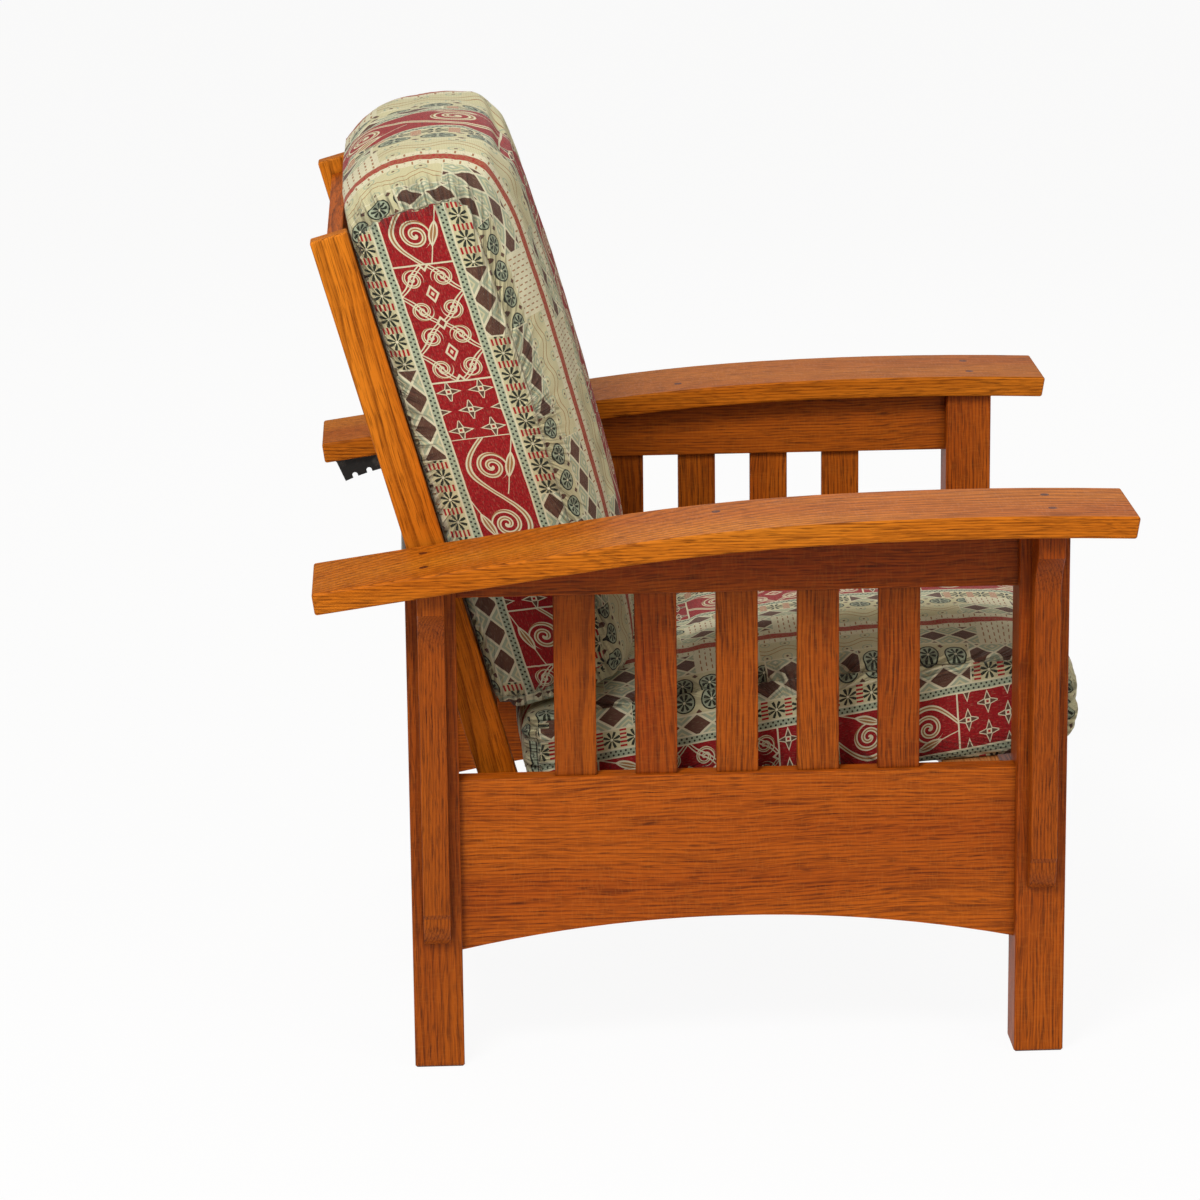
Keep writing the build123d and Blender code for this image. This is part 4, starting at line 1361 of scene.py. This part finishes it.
    def round_shoulder(self, piece: bpy.types.Object, top: float) -> None:
        """Round the upper front edge of a back cushion.

        Args:
            piece: The cover.
            top: The height of the cushion's top before it was pushed out.
        """
        radius = self.shoulder_round
        turn = self.unturn.transposed()
        places = [self.local(v.co) for v in piece.data.vertices]
        nose_y = min(p.y for p in places if p.z > top - 2 * radius) + radius
        nose_z = top - radius
        for vertex, place in zip(piece.data.vertices, places):
            away = Vector((0, place.y - nose_y, place.z - nose_z))
            if away.y < 0 < away.z and away.length > radius:
                vertex.co -= turn @ away.normalized() * (away.length - radius)

    def sag(self, piece: bpy.types.Object) -> None:
        """Press the lowest part of the rim down towards the deck.

        Args:
            piece: The cover.
        """
        down = self.unturn.transposed() @ Vector((0, 0, -1))
        for vertex in piece.data.vertices:
            rise = self.local(vertex.co).z - self.bottom
            if 0 < rise < self.sag_height:
                vertex.co += down * rise * self.sag_share * (1 - rise / self.sag_height)

    def refine(self, piece: bpy.types.Object) -> None:
        """Smooth the cover and give it finer faces.

        Args:
            piece: The cover.
        """
        select(piece)
        smooth = piece.modifiers.new("ease", "SMOOTH")
        smooth.factor = 0.5
        smooth.iterations = 3
        bpy.ops.object.modifier_apply(modifier=smooth.name)
        finer = piece.modifiers.new("finer", "SUBSURF")
        finer.levels = 1
        finer.render_levels = 1
        bpy.ops.object.modifier_apply(modifier=finer.name)
        for polygon in piece.data.polygons:
            polygon.use_smooth = True

    def measure(self, piece: bpy.types.Object) -> None:
        """Note how far the side panels reach.

        Args:
            piece: The cover.
        """
        rim = [self.local(v.co) for v in piece.data.vertices if abs(v.co.x) > self.seam]
        self.panel_top = max(p.z for p in rim)
        self.panel_bottom = min(p.z for p in rim)
        self.panel_front = min(p.y for p in rim)
        middle = (self.panel_top - self.panel_bottom) * self.level_share
        level = [p.y for p in rim if abs(p.z) < middle]
        self.panel_low, self.panel_high = min(level), max(level)

    def seam_gap(self, point: Vector, flat: Vector) -> float:
        """Give the way from a point to the side seam.

        Args:
            point: The point on the chair.
            flat: Its flat place.

        Returns:
            Metres, above zero on the side panel and below zero on the cover.
        """
        gap = abs(point.x) - self.seam
        if gap <= 0:
            return gap
        across = min(flat.y - self.panel_low, self.panel_high - flat.y)
        along = min(flat.z - self.panel_bottom, self.panel_top - flat.z)
        return max(gap, min(across, along))

    def sew(self, piece: bpy.types.Object) -> None:
        """Pull the side seams in and gather the cloth along them.

        Args:
            piece: The cover.
        """
        normals = [v.normal.copy() for v in piece.data.vertices]
        for vertex, normal in zip(piece.data.vertices, normals):
            if self.rests(self.unturn @ normal):
                continue
            flat = self.local(vertex.co)
            gap = self.seam_gap(vertex.co, flat)
            groove = math.exp(-((gap / self.seam_width) ** 2)) * self.seam_depth
            start = 1 - math.exp(-((gap / self.pucker_start) ** 2))
            fade = math.exp(-abs(gap) / self.pucker_reach) * start
            wave = min(self.pucker_wave(flat, float(vertex.co.x > 0)), self.pucker_most)
            lift = wave * self.pucker_height * fade * self.gathering(flat)
            soft = noise.noise(vertex.co * 8.0 + Vector((3.1, 0, 0))) * self.soft_height
            crease = noise.noise(flat * 19.0) * self.crease_height
            vertex.co += normal * (lift + soft + crease - groove)

    def pucker_wave(self, flat: Vector, side: float) -> float:
        """Give the uneven wave of the gathers along a seam.

        Args:
            flat: The flat place.
            side: 1 on the side towards +X, else 0.

        Returns:
            The wave's height, about -1 to 1.
        """
        run, apart = self.rim_run(flat) / self.pucker_pitch, side * 7.0
        broad = noise.noise(Vector((run, apart, 1.7)))
        fine = noise.noise(Vector((run * 2.1, apart, 5.1)))
        return broad + 0.6 * fine

    def rim_run(self, flat: Vector) -> float:
        """Give a length round the rim of the side panel.

        Args:
            flat: The flat place.

        Returns:
            Metres, from minus half the rim to half of it.
        """
        span = self.high - self.low
        reach = (span.y + span.z) / 4
        return math.atan2(flat.z / span.z, flat.y / span.y) * reach

    def gathering(self, flat: Vector) -> float:
        """Say how strongly the seam is gathered at a place.

        Args:
            flat: The flat place.

        Returns:
            The least along the middle, and 1 more at the two ends.
        """
        span = self.high - self.low
        if self.fold is Fold.OVER_SEAT:
            far, start = abs(flat.y) / (span.y / 2), 0.70
        else:
            far, start = abs(flat.z) / (span.z / 2), 0.66
        end = max(0.0, far - start) / (1 - start)
        return self.gather_least + min(end, 1.0)

    def map_cloth(self, piece: bpy.types.Object) -> None:
        """Write the cloth's own map, in metres, and the way to its seam.

        Args:
            piece: The cover.
        """
        vertices = piece.data.vertices
        points = [self.local(v.co) for v in vertices]
        self.top = max(p.z for p in points)
        gap = piece.data.attributes.new(SEAM_GAP, "FLOAT", "POINT")
        run = piece.data.attributes.new(SEAM_RUN, "FLOAT", "POINT")
        for number, (point, vertex) in enumerate(zip(points, vertices)):
            gap.data[number].value = self.seam_gap(vertex.co, point)
            run.data[number].value = self.rim_run(point)
        layer = piece.data.uv_layers.new(name=CLOTH_MAP)
        edge = self.seam - 0.0005
        for polygon in piece.data.polygons:
            on_side = all(abs(vertices[i].co.x) > edge for i in polygon.vertices)
            for loop in polygon.loop_indices:
                flat = points[piece.data.loops[loop].vertex_index]
                layer.data[loop].uv = self.cloth_place(flat, on_side)

    def cloth_place(self, flat: Vector, on_side: bool) -> Span:
        """Give the place in the cloth of one point of the cover.

        Args:
            flat: The flat place.
            on_side: True on the side panels.

        Returns:
            Metres across and along the patchwork.
        """
        side = max(-1.0, min(1.0, -flat.x / self.side_blend))
        if self.fold is Fold.OVER_SEAT:
            rise = flat.z - self.bottom
            if on_side:
                across = rise - self.seat_side_drop + flat.y * self.seat_side_slant
                return across, flat.y + self.seat_side_shift
            thick = (self.top - self.bottom) * self.seat_thick_share
            outer = rise - thick / 2
            over, length = self.round_nose(outer, flat.y, self.panel_front, -1.0, thick)
            shift_across, shift_along = self.seat_shift
            return flat.x + self.seam + over * side + shift_across, length + shift_along
        thick = self.panel_high - self.panel_low
        outer = (self.panel_low + self.panel_high) / 2 - flat.y
        if on_side:
            slant_across, slant_along = self.back_side_slant
            return outer + flat.z * slant_across, flat.z + outer * slant_along
        over, length = self.round_nose(outer, flat.z, self.panel_top, 1.0, thick)
        return flat.x + self.seam + over * side + self.back_shift, length

    def round_nose(
        self, outer: float, along: float, nose: float, way: float, thick: float
    ) -> Span:
        """Follow the cover along the cushion and on round its rounded end.

        Args:
            outer: How far the point lies from the middle of the thickness.
            along: Its place along the cushion.
            nose: Where the rounded end is, along the cushion.
            way: 1 where the rounded end is at the high end, else -1.
            thick: The cushion's thickness.

        Returns:
            How far the point stands out past the side panel's edge, and the
            metres along the cloth.
        """
        centre = nose - way * thick / 2
        past = (along - centre) * way
        reach = thick * self.nose_share
        if past > 0:
            over = math.hypot(past, outer) - thick / 2
            return max(0.0, over), centre + way * math.atan2(past, outer) * reach
        over = max(0.0, abs(outer) - thick / 2)
        if outer >= 0:
            return over, along
        return over, centre + way * (math.pi * reach - past)


def only() -> None:
    """Leave edit mode and deselect everything."""
    if bpy.context.object and bpy.context.object.mode != "OBJECT":
        bpy.ops.object.mode_set(mode="OBJECT")
    bpy.ops.object.select_all(action="DESELECT")


def select(piece: bpy.types.Object) -> None:
    """Make one piece the only one selected.

    Args:
        piece: The piece.
    """
    only()
    piece.select_set(True)
    bpy.context.view_layer.objects.active = piece


# Studio


@dataclass
class Studio:
    """Floor, lamps, world and camera."""

    eye: Point = (-4.8337, 0.3220, 1.7339)
    yaw: float = -2.179
    pitch: float = 14.293
    roll: float = -0.733
    focal_px: float = 4367.5
    centre_px: Span = (580.0, 540.0)
    frame_px: float = 1200.0
    sensor_mm: float = 36.0
    far_clip: float = 100.0
    white: Colour = (1.0, 1.0, 1.0)
    floor_tone: Colour = (0.80, 0.80, 0.80)
    floor_size: float = 30.0
    floor_white_share: float = 0.93
    sky_colour: Colour = (1.0, 0.93, 0.82)
    sky_strength: float = 0.36
    lamp_aim: Point = (0.0, 0.0, 0.5)

    def build(self) -> None:
        """Set up everything round the chair."""
        self.floor()
        self.world()
        self.lamps()
        self.camera()
        bpy.context.scene.view_settings.view_transform = "Standard"

    def floor(self) -> None:
        """Lay a plain pale floor that the camera sees as white."""
        only()
        bpy.ops.mesh.primitive_grid_add(
            x_subdivisions=8, y_subdivisions=8, size=self.floor_size, location=(0, 0, 0)
        )
        floor = bpy.context.object
        floor.name = "floor"
        board = Board.material("floor_white")
        shaded = board.node("ShaderNodeBsdfDiffuse", {}, {"Color": self.floor_tone})
        glow = {"Color": self.white, "Strength": 1.0}
        glowing = board.node("ShaderNodeEmission", {}, glow)
        seen = board.node("ShaderNodeLightPath", {}, {}, "Is Camera Ray")
        mirrored = board.node("ShaderNodeLightPath", {}, {}, "Is Glossy Ray")
        share = (seen | mirrored) * self.floor_white_share
        give(floor, board.close(self.blend(board, share, shaded, glowing)))

    def world(self) -> None:
        """Make the surroundings white to the camera and soft to the chair."""
        world = bpy.data.worlds.new("studio")
        bpy.context.scene.world = world
        board = Board(world)
        sky = {"Color": self.sky_colour, "Strength": self.sky_strength}
        soft = board.node("ShaderNodeBackground", {}, sky)
        plain = {"Color": self.white, "Strength": 1.0}
        white = board.node("ShaderNodeBackground", {}, plain)
        seen = board.node("ShaderNodeLightPath", {}, {}, "Is Camera Ray")
        board.close(self.blend(board, seen, soft, white))

    def blend(self, board: Board, share: Sock, under: Sock, over: Sock) -> Sock:
        """Mix two shaders.

        Args:
            board: The board to build on.
            share: How much of the second one shows.
            under: The first shader.
            over: The second shader.

        Returns:
            The mixed shader.
        """
        return board.node("ShaderNodeMixShader", {}, {0: share, 1: under, 2: over})

    def lamps(self) -> None:
        """Hang a large soft lamp above and behind on the near side, and two fills."""
        self.lamp("key_lamp", (-2.6, 1.3, 3.5), size=1.2, watts=128.0)
        self.lamp("front_fill", (-3.0, -2.6, 2.6), size=2.0, watts=36.0)
        self.lamp("far_fill", (3.2, -0.6, 2.6), size=2.2, watts=24.0)

    def lamp(self, name: str, place: Point, size: float, watts: float) -> None:
        """Hang one square lamp that looks at the chair.

        Args:
            name: The lamp's name.
            place: Where it hangs.
            size: The length of its side.
            watts: Its power.
        """
        data = bpy.data.lights.new(name, "AREA")
        data.energy = watts
        data.size = size
        lamp = bpy.data.objects.new(name, data)
        bpy.context.collection.objects.link(lamp)
        lamp.location = place
        aim = Vector(self.lamp_aim) - Vector(place)
        lamp.rotation_euler = aim.to_track_quat("-Z", "Y").to_euler()

    def camera(self) -> None:
        """Stand the camera where the photograph was taken."""
        data = bpy.data.cameras.new("camera")
        data.sensor_width = self.sensor_mm
        data.lens = self.focal_px / self.frame_px * self.sensor_mm
        data.shift_x = (self.frame_px / 2 - self.centre_px[0]) / self.frame_px
        data.shift_y = (self.centre_px[1] - self.frame_px / 2) / self.frame_px
        data.clip_end = self.far_clip
        camera = bpy.data.objects.new("camera", data)
        bpy.context.collection.objects.link(camera)
        yaw = Matrix.Rotation(math.radians(self.yaw), 3, "Z")
        look = Matrix(((0, 0, -1), (-1, 0, 0), (0, 1, 0)))
        pitch = Matrix.Rotation(math.radians(-self.pitch), 3, "X")
        roll = Matrix.Rotation(math.radians(self.roll), 3, "Z")
        turn = yaw @ look @ pitch @ roll
        camera.matrix_world = Matrix.Translation(self.eye) @ turn.to_4x4()
        bpy.context.scene.camera = camera


def main() -> None:
    """Dress the frame, build the cushions and set up the studio."""
    logging.basicConfig(level=logging.INFO, format="%(message)s")
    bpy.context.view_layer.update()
    only()
    Studio().build()
    Woodwork().dress()
    Hardware().dress()
    Cushion(
        "seat_cushion", "frame", Fold.OVER_SEAT, SEAT_LEAN, front_least=0.003, front_proud=0.009
    ).build()
    Cushion("back_cushion", "back", Fold.UP_BACK, BACK_LEAN, voxel=0.0072).build()


if __name__ == "__main__":
    main()
